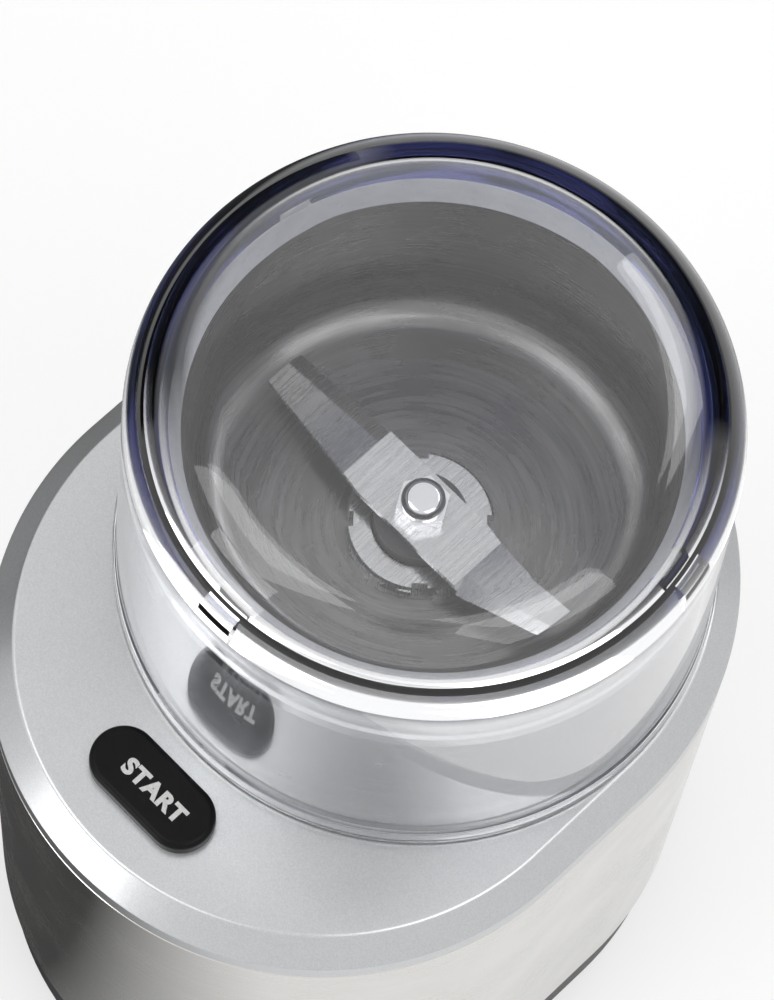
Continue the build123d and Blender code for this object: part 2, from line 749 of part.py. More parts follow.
# --- Motor brackets: pressed plates with legs that clamp the stator ---
ear = damper_radius + ear_margin
with BuildPart() as upper_bracket:
    with BuildSketch(level(bracket_bottom)):
        RectangleRounded(stator_width, stator_depth, clamp_inset)
        RectangleRounded(2 * (damper_x + ear), 2 * (damper_y + ear), damper_radius)
        with GridLocations(2 * damper_x, 2 * damper_y, 2, 2):
            Circle(damper_neck + assembly_gap, mode=Mode.SUBTRACT)
        with PolarLocations(bracket_hole_reach, 4, start_angle=45):
            Circle(bracket_hole_radius, mode=Mode.SUBTRACT)
    extrude(amount=bracket_sheet)
    with BuildSketch(level(bracket_top)):
        Circle(bearing_radius + bearing_shell)
    extrude(amount=bearing_shell_bottom - bracket_top)
    with BuildSketch(level(bracket_top)):
        Circle(bearing_radius + assembly_gap / 2)
    extrude(amount=-bearing_length, mode=Mode.SUBTRACT)
    with BuildSketch(level(bracket_top)):
        Circle(shaft_radius + shaft_room)
    extrude(amount=-2 * bearing_length, mode=Mode.SUBTRACT)
    with BuildSketch(level(stack_top + assembly_gap)):
        with GridLocations(2 * clamp_bolt_x, 2 * clamp_bolt_y, 2, 2):
            Circle(clamp_leg_radius)
    extrude(amount=bracket_bottom - stack_top - assembly_gap)
    with BuildSketch(level(stack_top)):
        with GridLocations(2 * clamp_bolt_x, 2 * clamp_bolt_y, 2, 2):
            Circle(clamp_bolt_radius + assembly_gap)
    extrude(amount=bracket_top - stack_top, mode=Mode.SUBTRACT)
upper_bracket.part.label = "upper_bracket"
export_step(upper_bracket.part, "parts/upper_bracket.step")

with BuildPart() as lower_bracket:
    with BuildSketch(level(lower_bracket_bottom)):
        RectangleRounded(stator_width, stator_depth, clamp_inset)
        with PolarLocations(bracket_hole_reach, 4, start_angle=45):
            Circle(bracket_hole_radius, mode=Mode.SUBTRACT)
    extrude(amount=bracket_sheet)
    with BuildSketch(level(lower_bracket_bottom)):
        Circle(bearing_radius + bearing_shell)
    extrude(amount=bearing_length)
    with BuildSketch(level(lower_bracket_bottom)):
        Circle(bearing_radius + assembly_gap / 2)
    extrude(amount=bearing_length, mode=Mode.SUBTRACT)
    with BuildSketch(level(lower_bracket_top)):
        with GridLocations(2 * clamp_bolt_x, 2 * clamp_bolt_y, 2, 2):
            Circle(clamp_leg_radius)
    extrude(amount=stack_bottom - assembly_gap - lower_bracket_top)
    with BuildSketch(level(lower_bracket_bottom)):
        with GridLocations(2 * clamp_bolt_x, 2 * clamp_bolt_y, 2, 2):
            Circle(clamp_bolt_radius + assembly_gap)
    extrude(amount=stack_bottom - lower_bracket_bottom, mode=Mode.SUBTRACT)
lower_bracket.part.label = "lower_bracket"
export_step(lower_bracket.part, "parts/lower_bracket.step")

clamp_bolts = pan_screws(
    clamp_spots,
    lower_bracket_bottom,
    2 * clamp_bolt_radius,
    clamp_bolt_radius,
    clamp_bolt_radius,
    bracket_top - lower_bracket_bottom,
)
clamp_bolts.part.label = "clamp_bolts"
export_step(clamp_bolts.part, "parts/clamp_bolts.step")

# --- Bearings ---
with BuildPart() as upper_bearing:
    with BuildSketch(level(bracket_top - bearing_length + assembly_gap)):
        Circle(bearing_radius)
        Circle(shaft_radius + running_fit, mode=Mode.SUBTRACT)
    extrude(amount=bearing_length - assembly_gap)
    chamfer(upper_bearing.edges(), bearing_edge)
upper_bearing.part.label = "upper_bearing"
export_step(upper_bearing.part, "parts/upper_bearing.step")

with BuildPart() as lower_bearing:
    with BuildSketch(level(lower_bracket_bottom)):
        Circle(bearing_radius)
        Circle(shaft_radius + running_fit, mode=Mode.SUBTRACT)
    extrude(amount=bearing_length)
    chamfer(lower_bearing.edges(), bearing_edge)
lower_bearing.part.label = "lower_bearing"
export_step(lower_bearing.part, "parts/lower_bearing.step")

# --- Rubber dampers between the motor and the deck, with their screws ---
with BuildPart() as motor_dampers:
    with BuildSketch(level(bracket_top + assembly_gap / 2)):
        with GridLocations(2 * damper_x, 2 * damper_y, 2, 2):
            Circle(damper_radius)
    extrude(amount=damper_flange - assembly_gap)
    with BuildSketch(level(bracket_bottom - assembly_gap / 2)):
        with GridLocations(2 * damper_x, 2 * damper_y, 2, 2):
            Circle(damper_radius)
    extrude(amount=-damper_flange)
    with BuildSketch(level(bracket_bottom - damper_flange / 2)):
        with GridLocations(2 * damper_x, 2 * damper_y, 2, 2):
            Circle(damper_neck)
    extrude(amount=bracket_sheet + damper_flange)
    with BuildSketch(level(bracket_bottom - 2 * damper_flange)):
        with GridLocations(2 * damper_x, 2 * damper_y, 2, 2):
            Circle(motor_screw_radius + assembly_gap)
    extrude(amount=bracket_sheet + 4 * damper_flange, mode=Mode.SUBTRACT)
motor_dampers.part.label = "motor_dampers"
export_step(motor_dampers.part, "parts/motor_dampers.step")

motor_screws = pan_screws(
    damper_spots,
    bracket_bottom - damper_flange - assembly_gap,
    motor_screw_head,
    screw_head_height,
    motor_screw_radius - assembly_gap / 2,
    bracket_sheet + 2 * damper_flange + motor_boss_length,
)
motor_screws.part.label = "motor_screws"
export_step(motor_screws.part, "parts/motor_screws.step")

# --- Stator: laminated core with two poles, and a coil round each pole ---
with BuildPart() as stator_core:
    with BuildSketch(level(stack_bottom)):
        RectangleRounded(stator_width, stator_depth, clamp_inset)
        Circle(stator_bore, mode=Mode.SUBTRACT)
        with GridLocations(0, 2 * window_offset, 1, 2):
            Rectangle(window_width, window_depth, mode=Mode.SUBTRACT)
        with GridLocations(2 * clamp_bolt_x, 2 * clamp_bolt_y, 2, 2):
            Circle(clamp_bolt_radius + assembly_gap, mode=Mode.SUBTRACT)
    extrude(amount=stack_height)
stator_core.part.label = "stator_core"
export_step(stator_core.part, "parts/stator_core.step")

coil_inside = 2 * window_offset - window_depth + 2 * hand_fit
coil_outside = 2 * window_offset + window_depth - 2 * hand_fit
coil_middle = stack_bottom + stack_height / 2
with BuildPart() as field_coils:
    for side in (-1, 1):
        coil_plane = Plane(
            (side * pole_coil_inner, bowl_y, coil_middle), x_dir=(0, 1, 0), z_dir=(side, 0, 0)
        )
        with BuildSketch(coil_plane):
            RectangleRounded(coil_outside, stack_height + 2 * coil_overhang, coil_overhang)
            RectangleRounded(coil_inside, stack_height + 2 * hand_fit, coil_corner, mode=Mode.SUBTRACT)
        extrude(amount=pole_coil_outer - pole_coil_inner)
field_coils.part.label = "field_coils"
export_step(field_coils.part, "parts/field_coils.step")

# --- Rotor: shaft, slotted core, windings, commutator and fan ---
with BuildPart() as rotor_shaft:
    with BuildSketch(level(shaft_bottom)):
        Circle(shaft_radius)
    extrude(amount=shaft_top - shaft_bottom)
    with BuildSketch(level(commutator_bottom)):
        Circle(core_shaft_radius)
    extrude(amount=fan_bottom + fan_height - commutator_bottom)
    chamfer(rotor_shaft.edges().group_by(Axis.Z)[0], shaft_edge)
    chamfer(rotor_shaft.edges().group_by(Axis.Z)[-1], shaft_edge)
rotor_shaft.part.label = "rotor_shaft"
export_step(rotor_shaft.part, "parts/rotor_shaft.step")

slot_centre = armature_radius - tooth_tip - slot_depth / 2
with BuildPart() as armature_core:
    with BuildSketch(level(stack_bottom)):
        Circle(armature_radius)
        Circle(core_shaft_radius + assembly_gap / 2, mode=Mode.SUBTRACT)
        with PolarLocations(slot_centre, armature_slots):
            RectangleRounded(slot_depth, slot_width, slot_corner, mode=Mode.SUBTRACT)
        with PolarLocations(armature_radius, armature_slots):
            Rectangle(slot_depth, slot_mouth, mode=Mode.SUBTRACT)
    extrude(amount=stack_height)
armature_core.part.label = "armature_core"
export_step(armature_core.part, "parts/armature_core.step")

bar_depth = slot_depth - 2 * slot_liner
bar_width = slot_width - 2 * slot_liner
with BuildPart() as armature_windings:
    for bottom in (head_bottom, stack_top + assembly_gap):
        with BuildSketch(level(bottom)):
            Circle(winding_head_radius)
            Circle(core_shaft_radius + winding_sleeve, mode=Mode.SUBTRACT)
        extrude(amount=winding_head_length)
    fillet(armature_windings.edges().group_by(Axis.Z)[-1].sort_by(SortBy.RADIUS)[-1], winding_head_round)
    fillet(armature_windings.edges().group_by(Axis.Z)[0].sort_by(SortBy.RADIUS)[-1], winding_head_round)
    with BuildSketch(level(head_bottom + winding_head_length)):
        with PolarLocations(slot_centre, armature_slots):
            RectangleRounded(bar_depth, bar_width, slot_corner - slot_liner)
    extrude(amount=stack_height + 2 * assembly_gap)
armature_windings.part.label = "armature_windings"
export_step(armature_windings.part, "parts/armature_windings.step")

with BuildPart() as commutator:
    with BuildSketch(level(commutator_bottom + assembly_gap)):
        Circle(commutator_radius)
        Circle(core_shaft_radius + assembly_gap / 2, mode=Mode.SUBTRACT)
        with PolarLocations(commutator_radius, commutator_bars):
            Rectangle(4 * commutator_slit, commutator_slit, mode=Mode.SUBTRACT)
    extrude(amount=commutator_length - assembly_gap)
    with BuildSketch(level(commutator_top)):
        Circle(commutator_radius + riser_proud)
        Circle(core_shaft_radius + assembly_gap / 2, mode=Mode.SUBTRACT)
    extrude(amount=riser_length)
commutator.part.label = "commutator"
export_step(commutator.part, "parts/commutator.step")

with BuildPart() as cooling_fan:
    with BuildSketch(level(fan_bottom)):
        Circle(fan_radius)
        Circle(core_shaft_radius + assembly_gap / 2, mode=Mode.SUBTRACT)
    extrude(amount=fan_sheet)
    with BuildSketch(level(fan_bottom)):
        Circle(core_shaft_radius + fan_hub_wall)
        Circle(core_shaft_radius + assembly_gap / 2, mode=Mode.SUBTRACT)
    extrude(amount=fan_height)
    with BuildSketch(level(fan_bottom)):
        with PolarLocations(0, fan_blades):
            with BuildLine():
                vane = ThreePointArc(
                    (core_shaft_radius + fan_hub_wall - hand_fit, 0),
                    (0.55 * fan_radius, 0.14 * fan_radius),
                    (fan_radius - fan_vane_inset, 0),
                )
            trace(vane, fan_sheet)
    extrude(amount=fan_height)
cooling_fan.part.label = "cooling_fan"
export_step(cooling_fan.part, "parts/cooling_fan.step")

# --- Brush gear: holders on the lower bracket, carbon brushes and their springs ---
holder_start = commutator_radius + brush_holder_gap
with BuildPart() as brush_holders:
    for side in (-1, 1):
        inner = Plane((0, bowl_y + side * holder_start, brush_z), x_dir=(1, 0, 0), z_dir=(0, side, 0))
        outer_width = brush_width + 2 * brush_holder_wall
        outer_height = brush_height + 2 * brush_holder_wall
        with BuildSketch(inner):
            RectangleRounded(outer_width, outer_height, brush_holder_corner)
        extrude(amount=brush_holder_length)
        with BuildSketch(inner):
            Rectangle(brush_width + assembly_gap, brush_height + assembly_gap)
        extrude(amount=brush_holder_length - brush_holder_wall, mode=Mode.SUBTRACT)
        foot_y = bowl_y + side * (holder_start + brush_holder_length * 0.6)
        with BuildSketch(Plane((0, foot_y, lower_bracket_top + assembly_gap))):
            Rectangle(outer_width, brush_holder_length / 2)
        extrude(amount=brush_z - brush_height / 2 - brush_foot_set - lower_bracket_top)
brush_holders.part.label = "brush_holders"
export_step(brush_holders.part, "parts/brush_holders.step")

with BuildPart() as carbon_brushes:
    for side in (-1, 1):
        tip = commutator_radius - brush_wrap
        inner = Plane((0, bowl_y + side * tip, brush_z), x_dir=(1, 0, 0), z_dir=(0, side, 0))
        with BuildSketch(inner):
            Rectangle(brush_width, brush_height)
        extrude(amount=brush_length)
    with BuildSketch(level(brush_z - brush_height)):
        Circle(commutator_radius + assembly_gap)
    extrude(amount=2 * brush_height, mode=Mode.SUBTRACT)
carbon_brushes.part.label = "carbon_brushes"
export_step(carbon_brushes.part, "parts/carbon_brushes.step")

brush_back = commutator_radius - brush_wrap + brush_length
holder_back = holder_start + brush_holder_length - brush_holder_wall
spring_length = holder_back - brush_back - 2 * assembly_gap - spring_wire
with BuildPart() as brush_springs:
    for side in (-1, 1):
        start = Vector(0, bowl_y + side * (brush_back + assembly_gap + spring_wire / 2), brush_z)
        with BuildLine():
            turns = Helix(
                pitch=spring_length / spring_turns,
                height=spring_length,
                radius=brush_height / 2 - spring_wire,
                center=start,
                direction=(0, side, 0),
            )
        with BuildSketch(Plane(turns @ 0, z_dir=turns % 0)):
            RegularPolygon(spring_wire / 2, side_count=6)
        sweep(path=turns, is_frenet=True)
brush_springs.part.label = "brush_springs"
export_step(brush_springs.part, "parts/brush_springs.step")

# --- Drive coupling: a toothed dog on the rotor and its socket under the bowl ---
tooth_middle = (dog_core_radius + dog_tip_radius) / 2
tooth_length = dog_tip_radius - dog_core_radius + dog_root
with BuildPart() as drive_coupling:
    with BuildSketch(level(dog_bottom)):
        Circle(dog_tip_radius)
        Circle(shaft_radius + assembly_gap / 2, mode=Mode.SUBTRACT)
    extrude(amount=dog_hub_height)
    with BuildSketch(level(dog_base)):
        Circle(dog_core_radius)
        with PolarLocations(tooth_middle, dog_count):
            Rectangle(tooth_length, dog_width)
        Circle(shaft_radius + assembly_gap / 2, mode=Mode.SUBTRACT)
    extrude(amount=dog_height)
    chamfer(drive_coupling.edges().group_by(Axis.Z)[-1].filter_by(GeomType.LINE), dog_edge)
drive_coupling.part.label = "drive_coupling"
export_step(drive_coupling.part, "parts/drive_coupling.step")

with BuildPart() as driven_coupling:
    with BuildSketch(level(dog_base + seat_gap)):
        Circle(socket_radius)
        Circle(dog_core_radius + hand_fit, mode=Mode.SUBTRACT)
        with PolarLocations(tooth_middle, dog_count):
            Rectangle(tooth_length + 2 * hand_fit, dog_width + 2 * hand_fit, mode=Mode.SUBTRACT)
    extrude(amount=dog_height)
    with BuildSketch(level(dog_top + seat_gap)):
        Circle(socket_radius)
        Circle(shaft_radius + assembly_gap / 2, mode=Mode.SUBTRACT)
    extrude(amount=socket_web)
    chamfer(driven_coupling.edges().group_by(Axis.Z)[-1].sort_by(SortBy.RADIUS)[-1], socket_edge)
driven_coupling.part.label = "driven_coupling"
export_step(driven_coupling.part, "parts/driven_coupling.step")

# --- Bowl cup: drawn steel with a hole for the hub ---
cup_wall_top = deck_height + cup_top
outer = bowl_bore + cup_sheet
bend = cup_corner + cup_sheet
hole = hub_radius + hand_fit
with BuildPart() as bowl_cup:
    with BuildSketch(radial_plane):
        with BuildLine():
            Line((hole, cup_underside), (outer - bend, cup_underside))
            CenterArc((outer - bend, cup_underside + bend), bend, -90, 90)
            Line((outer, cup_underside + bend), (outer, cup_wall_top))
            Line((outer, cup_wall_top), (bowl_bore, cup_wall_top))
            Line((bowl_bore, cup_wall_top), (bowl_bore, cup_underside + bend))
            CenterArc((outer - bend, cup_underside + bend), cup_corner, 0, -90)
            Line((outer - bend, cup_underside + cup_sheet), (hole, cup_underside + cup_sheet))
            Line((hole, cup_underside + cup_sheet), (hole, cup_underside))
        make_face()
    revolve(axis=spindle)
bowl_cup.part.label = "bowl_cup"
export_step(bowl_cup.part, "parts/bowl_cup.step")

# --- Bowl rim: the flared lip that holds the cup's edge and the sleeve's top ---
rim_top = deck_height + rim_height
rim_inside = bowl_bore + cup_sheet + assembly_gap
with BuildPart() as bowl_rim:
    with BuildSketch(radial_plane):
        with BuildLine():
            Polyline(
                (rim_inside, rim_top - rim_depth),
                (rim_inside, cup_wall_top + assembly_gap),
                (bowl_bore, cup_wall_top + assembly_gap),
                (bowl_bore + lip_flare, rim_top),
                (rim_outer_radius, rim_top),
                (rim_outer_radius, rim_top - rim_depth),
                close=True,
            )
        make_face()
    revolve(axis=spindle)
    fillet(bowl_rim.edges().group_by(Axis.Z)[-1], rim_round / 2)
    with BuildSketch(level(rim_top - rim_round)):
        for turn in (-rim_key_angle, 0, rim_key_angle):
            with PolarLocations(rim_key_reach, 1, start_angle=turn - 90):
                Rectangle(rim_key_depth, rim_key_width)
    extrude(amount=rim_round + rim_key_height)
bowl_rim.part.label = "bowl_rim"
export_step(bowl_rim.part, "parts/bowl_rim.step")

# --- Polished band round the rim, and the brushed sleeve below it ---
band_bottom_z = deck_height + sleeve_top + seam
band_profile = bowl_outer + band_bead_proud
with BuildPart() as rim_band:
    with BuildSketch(radial_plane):
        with BuildLine():
            Polyline(
                (sleeve_inner, band_bottom_z),
                (sleeve_inner, band_bottom_z + band_height),
                (bowl_outer - band_step, band_bottom_z + band_height),
                (bowl_outer - band_step, band_bottom_z + band_bead + band_bead_proud),
                (band_profile, band_bottom_z + band_bead),
                (band_profile, band_bottom_z),
                close=True,
            )
        make_face()
    revolve(axis=spindle)
    fillet(rim_band.edges().group_by(Axis.Z)[-1].sort_by(SortBy.RADIUS)[-1], bowl_sheet / 2)
    fillet(rim_band.edges().group_by(Axis.Z)[0].sort_by(SortBy.RADIUS)[-1], bowl_sheet / 2)
rim_band.part.label = "rim_band"
export_step(rim_band.part, "parts/rim_band.step")

with BuildPart() as bowl_sleeve:
    with BuildSketch(level(deck_height + sleeve_foot)):
        Circle(bowl_outer)
        Circle(sleeve_inner, mode=Mode.SUBTRACT)
    extrude(amount=sleeve_top - sleeve_foot)
bowl_sleeve.part.label = "bowl_sleeve"
export_step(bowl_sleeve.part, "parts/bowl_sleeve.step")

# --- Bowl base: the moulding between the sleeve, the cup and the well ---
skirt_radius = socket_radius + skirt_room
plug_inside = plug_radius - well_wall
rib_length = bowl_bore - cup_corner - hub_shoulder
with BuildPart() as bowl_base:
    with BuildSketch(radial_plane):
        with BuildLine():
            Polyline(
                (bush_radius + assembly_gap / 2, hub_bottom),
                (skirt_radius, hub_bottom),
                (skirt_radius, plug_bottom + skirt_lift),
                (skirt_radius + skirt_wall, plug_bottom + skirt_lift),
                (skirt_radius + skirt_wall, base_top - base_skin),
                (plug_inside, base_top - base_skin),
                (plug_inside, plug_bottom),
                (plug_radius, plug_bottom),
                (plug_radius, flange_bottom),
                (bowl_outer - band_step, flange_bottom),
                (bowl_outer - band_step, deck_height + sleeve_foot - assembly_gap),
                (sleeve_inner - assembly_gap, deck_height + sleeve_foot - assembly_gap),
                (sleeve_inner - assembly_gap, base_top),
                (hub_shoulder, base_top),
                (hub_shoulder, cup_underside - assembly_gap),
                (hub_radius, cup_underside - assembly_gap),
                (hub_radius, deck_height + hub_top),
                (bush_radius + assembly_gap / 2, deck_height + hub_top),
                close=True,
            )
        make_face()
    revolve(axis=spindle)
    fillet(bowl_base.edges().group_by(Axis.Z)[0].sort_by(SortBy.RADIUS)[-1], plug_round)
    # keyways that let the plug slide over the well's keys
    with BuildSketch(level(plug_bottom)):
        with PolarLocations(well_radius, key_count, start_angle=90):
            Rectangle(2 * (key_depth + hand_fit), key_width + 2 * hand_fit)
    extrude(amount=flange_bottom - plug_bottom, mode=Mode.SUBTRACT)
    # ribs that carry the cup's floor
    with BuildSketch(level(base_top)):
        with PolarLocations(hub_shoulder - hub_rib_thickness / 2, hub_rib_count):
            Rectangle(rib_length, hub_rib_thickness, align=(Align.MIN, Align.CENTER))
    extrude(amount=cup_underside - base_top - assembly_gap)
bowl_base.part.label = "bowl_base"
export_step(bowl_base.part, "parts/bowl_base.step")

# --- Ring nut that clamps the cup to the base ---
with BuildPart() as hub_nut:
    with BuildSketch(level(cup_underside + cup_sheet + assembly_gap)):
        Circle(nut_radius)
        Circle(hub_radius + assembly_gap, mode=Mode.SUBTRACT)
        with PolarLocations(nut_radius, nut_notches, start_angle=45):
            Rectangle(nut_notch_width, nut_notch_width, mode=Mode.SUBTRACT)
    extrude(amount=nut_height)
    chamfer(hub_nut.edges().group_by(Axis.Z)[-1].filter_by(GeomType.CIRCLE), nut_edge)
hub_nut.part.label = "hub_nut"
export_step(hub_nut.part, "parts/hub_nut.step")

# --- Bush, seal and thrust washer of the blade shaft ---
with BuildPart() as blade_bush:
    with BuildSketch(level(bush_bottom)):
        Circle(bush_radius)
        Circle(shaft_radius + running_fit, mode=Mode.SUBTRACT)
    extrude(amount=bush_length)
blade_bush.part.label = "blade_bush"
export_step(blade_bush.part, "parts/blade_bush.step")

with BuildPart() as blade_seal:
    with BuildSketch(level(seal_bottom + assembly_gap)):
        Circle(bush_radius)
        Circle(shaft_radius + running_fit, mode=Mode.SUBTRACT)
    extrude(amount=seal_height)
    chamfer(blade_seal.edges().group_by(Axis.Z)[-1].sort_by(SortBy.RADIUS)[0], seal_lip)
blade_seal.part.label = "blade_seal"
export_step(blade_seal.part, "parts/blade_seal.step")

with BuildPart() as thrust_washer:
    with BuildSketch(level(washer_bottom)):
        Circle(bush_radius)
        Circle(shaft_radius + assembly_gap / 2, mode=Mode.SUBTRACT)
    extrude(amount=hub_bottom - washer_bottom - assembly_gap)
thrust_washer.part.label = "thrust_washer"
export_step(thrust_washer.part, "parts/thrust_washer.step")

# --- Blade shaft, two-winged blade and cap nut ---
with BuildPart() as blade_shaft:
    with BuildSketch(level(dog_top + seat_gap)):
        Circle(shaft_radius)
    extrude(amount=blade_seat - dog_top - seat_gap)
    with BuildSketch(level(blade_seat - blade_collar_height)):
        Circle(blade_collar_radius)
    extrude(amount=blade_collar_height)
    with BuildSketch(level(blade_seat)):
        Circle(blade_stud_radius)
    extrude(amount=blade_sheet + blade_stud_proud)
blade_shaft.part.label = "blade_shaft"
export_step(blade_shaft.part, "parts/blade_shaft.step")

blade_bottom = blade_seat + assembly_gap / 2
blade_top = blade_bottom + blade_sheet
with BuildPart() as blade:
    with BuildSketch(Plane((0, bowl_y, 0), x_dir=(1, 0, 0), z_dir=(0, -1, 0))):
        with BuildLine():
            Polyline(
                (-blade_reach, blade_bottom - blade_rise / 2),
                (-blade_bend, blade_bottom),
                (blade_bend, blade_bottom),
                (blade_reach, blade_bottom + blade_rise),
                (blade_reach, blade_top + blade_rise),
                (blade_bend, blade_top),
                (-blade_bend, blade_top),
                (-blade_reach, blade_top - blade_rise / 2),
                close=True,
            )
        make_face()
    extrude(amount=blade_root_width, both=True)
    # plan shape: each wing tapers on its trailing side, and its leading side is straight
    with BuildSketch(level(blade_bottom - blade_rise)):
        for side in (-1, 1):
            with BuildLine():
                Polyline(
                    (0, -side * blade_root_width / 2),
                    (side * blade_reach, -side * blade_root_width / 2),
                    (side * blade_reach, side * (blade_tip_width - blade_root_width / 2)),
                    (side * blade_shoulder, side * blade_root_width / 2),
                    (0, side * blade_root_width / 2),
                    close=True,
                )
            make_face()
        Circle(blade_root_width / 2)
        Circle(blade_stud_radius + assembly_gap / 2, mode=Mode.SUBTRACT)
    extrude(amount=3 * blade_rise, mode=Mode.INTERSECT)
    # the leading side of each wing is ground to an edge
    for side, rise in ((-1, -blade_rise / 2), (1, blade_rise)):
        leading_y = bowl_y - side * blade_root_width / 2
        root = Vector(side * blade_bend, leading_y, blade_top)
        tip = Vector(side * blade_reach, leading_y, blade_top + rise)
        with BuildSketch(Plane(root, x_dir=(0, side, 0), z_dir=tip - root)):
            with BuildLine():
                Polyline(
                    (grind_width, 0),
                    (grind_width, blade_sheet),
                    (-grind_width, blade_sheet),
                    (-grind_width, 2 * (blade_edge - blade_sheet)),
                    close=True,
                )
            make_face()
        extrude(amount=1.2 * (tip - root).length, mode=Mode.SUBTRACT)
blade.part.label = "blade"
export_step(blade.part, "parts/blade.step")

with BuildPart() as blade_nut:
    with BuildSketch(level(blade_top + assembly_gap / 2)):
        RegularPolygon(blade_nut_radius, 6)
    extrude(amount=blade_nut_flats)
    with BuildSketch(level(blade_top + assembly_gap / 2)):
        Circle(blade_nut_dome)
    extrude(amount=blade_nut_height)
    fillet(blade_nut.edges().group_by(Axis.Z)[-1], blade_nut_round)
    with BuildSketch(level(blade_top)):
        Circle(blade_stud_radius + assembly_gap / 2)
    extrude(amount=blade_nut_bore, mode=Mode.SUBTRACT)
blade_nut.part.label = "blade_nut"
export_step(blade_nut.part, "parts/blade_nut.step")

# --- Lid: deep skirt, round shoulder, flat top and a thick ring over the bowl's rim ---
lid_foot = deck_height + seat_gap
lid_top = deck_height + lid_height
shoulder_centre = lid_shoulder_reach - lid_shoulder_radius
shoulder_z = lid_top - lid_shoulder_radius
hollow_radius = lid_ring_bore - shoulder_centre
hollow_z = lid_top - lid_skin - hollow_radius
with BuildPart() as lid_shell:
    with BuildSketch(radial_plane):
        with BuildLine():
            Polyline(
                (0, lid_top - lid_skin),
                (0, lid_top),
                (shoulder_centre, lid_top),
            )
            CenterArc((shoulder_centre, shoulder_z), lid_shoulder_radius, 90, -90)
            Polyline(
                (lid_shoulder_reach, shoulder_z),
                (lid_radius - lid_bead_proud, lid_foot + lid_bead_height + lid_bead_proud),
                (lid_radius, lid_foot + lid_bead_height),
                (lid_radius, lid_foot),
                (lid_radius - lid_foot_wall, lid_foot),
                (bowl_outer + lid_clearance, lid_rest),
                (lid_ring_bore, lid_rest),
                (lid_ring_bore, hollow_z),
            )
            CenterArc((shoulder_centre, hollow_z), hollow_radius, 0, 90)
            Line((shoulder_centre, lid_top - lid_skin), (0, lid_top - lid_skin))
        make_face()
    revolve(axis=spindle)
    # notches that drop over the keys on the bowl's rim
    with BuildSketch(level(lid_rest)):
        for turn in (-rim_key_angle, 0, rim_key_angle):
            with PolarLocations(rim_key_reach, 1, start_angle=turn - 90):
                Rectangle(rim_key_depth + 2 * hand_fit, rim_key_width + 2 * hand_fit)
    extrude(amount=lid_notch_depth, mode=Mode.SUBTRACT)
lid_shell.part.label = "lid_shell"
export_step(lid_shell.part, "parts/lid_shell.step")

# --- Start button: a pill-shaped cap with a flange under the deck and a stem ---
with BuildPart() as start_button:
    with BuildSketch(Plane((0, button_y, flange_top))):
        SlotCenterToCenter(button_stretch, 2 * button_end_radius)
    extrude(amount=button_top - flange_top)
    fillet(start_button.edges().group_by(Axis.Z)[-1], button_edge)
    with BuildSketch(Plane((0, button_y, flange_top))):
        SlotCenterToCenter(button_stretch, 2 * (button_end_radius + button_flange))
    extrude(amount=-button_flange_thickness)
    with BuildSketch(Plane((0, button_y, flange_top))):
        Circle(button_stem_radius)
    extrude(amount=button_stem_bottom - flange_top)
start_button.part.label = "start_button"
export_step(start_button.part, "parts/start_button.step")

button_spring = coil_spring(
    0,
    button_y,
    guide_floor + assembly_gap,
    flange_top - button_flange_thickness - assembly_gap,
    button_stem_radius + 2 * spring_wire,
)
button_spring.part.label = "button_spring"
export_step(button_spring.part, "parts/button_spring.step")

# --- Interlock pin that the foot of the lid holds down ---
with BuildPart() as interlock_pin:
    with BuildSketch(Plane((0, pin_y, pin_flange_top))):
        Circle(pin_radius)
    extrude(amount=deck_height - pin_flange_top)
    fillet(interlock_pin.edges().group_by(Axis.Z)[-1], pin_radius / 3)
    with BuildSketch(Plane((0, pin_y, pin_flange_top))):
        Circle(pin_flange_radius)
    extrude(amount=-pin_flange_thickness)
    with BuildSketch(Plane((0, pin_y, pin_flange_top))):
        Circle(pin_stem_radius)
    extrude(amount=pin_stem_bottom - pin_flange_top)
interlock_pin.part.label = "interlock_pin"
export_step(interlock_pin.part, "parts/interlock_pin.step")

interlock_spring = coil_spring(
    0,
    pin_y,
    guide_floor + assembly_gap,
    pin_flange_top - pin_flange_thickness - assembly_gap,
    pin_stem_radius + 2.5 * spring_wire,
)
interlock_spring.part.label = "interlock_spring"
export_step(interlock_spring.part, "parts/interlock_spring.step")

# --- Switch guide: pockets for the button and the pin, held under the deck's posts ---
button_pocket = button_end_radius + button_flange + hand_fit
pin_pocket = pin_flange_radius + hand_fit
with BuildPart() as switch_guide:
    with BuildSketch(Plane((0, post_y, guide_plate_height))):
        RectangleRounded(2 * (post_x + post_radius), post_row_gap + 2 * post_radius, guide_corner)
    extrude(amount=guide_plate)
    with BuildSketch(Plane.XY.offset(guide_floor)):
        with Locations((0, button_y)):
            SlotCenterToCenter(button_stretch, 2 * (button_pocket + guide_wall))
        with Locations((0, pin_y)):
            Circle(pin_pocket + guide_wall)
        with Locations((0, button_y)):
            SlotCenterToCenter(button_stretch, 2 * button_pocket, mode=Mode.SUBTRACT)
        with Locations((0, pin_y)):
            Circle(pin_pocket, mode=Mode.SUBTRACT)
    extrude(amount=deck_underside - guide_floor - seat_gap)
    with BuildSketch(Plane.XY.offset(guide_plate_height)):
        with Locations((0, button_y)):
            Circle(button_stem_radius + hand_fit)
        with Locations((0, pin_y)):
            Circle(pin_stem_radius + hand_fit)
        with Locations(*post_spots):
            Circle(board_screw_radius + assembly_gap)
    extrude(amount=guide_plate, mode=Mode.SUBTRACT)
    with BuildSketch(Plane.XY.offset(board_height + board_sheet + assembly_gap)):
        with Locations(*post_spots):
            Circle(post_radius)
            Circle(board_screw_radius + assembly_gap, mode=Mode.SUBTRACT)
    extrude(amount=guide_plate_height - board_height - board_sheet - assembly_gap)
switch_guide.part.label = "switch_guide"
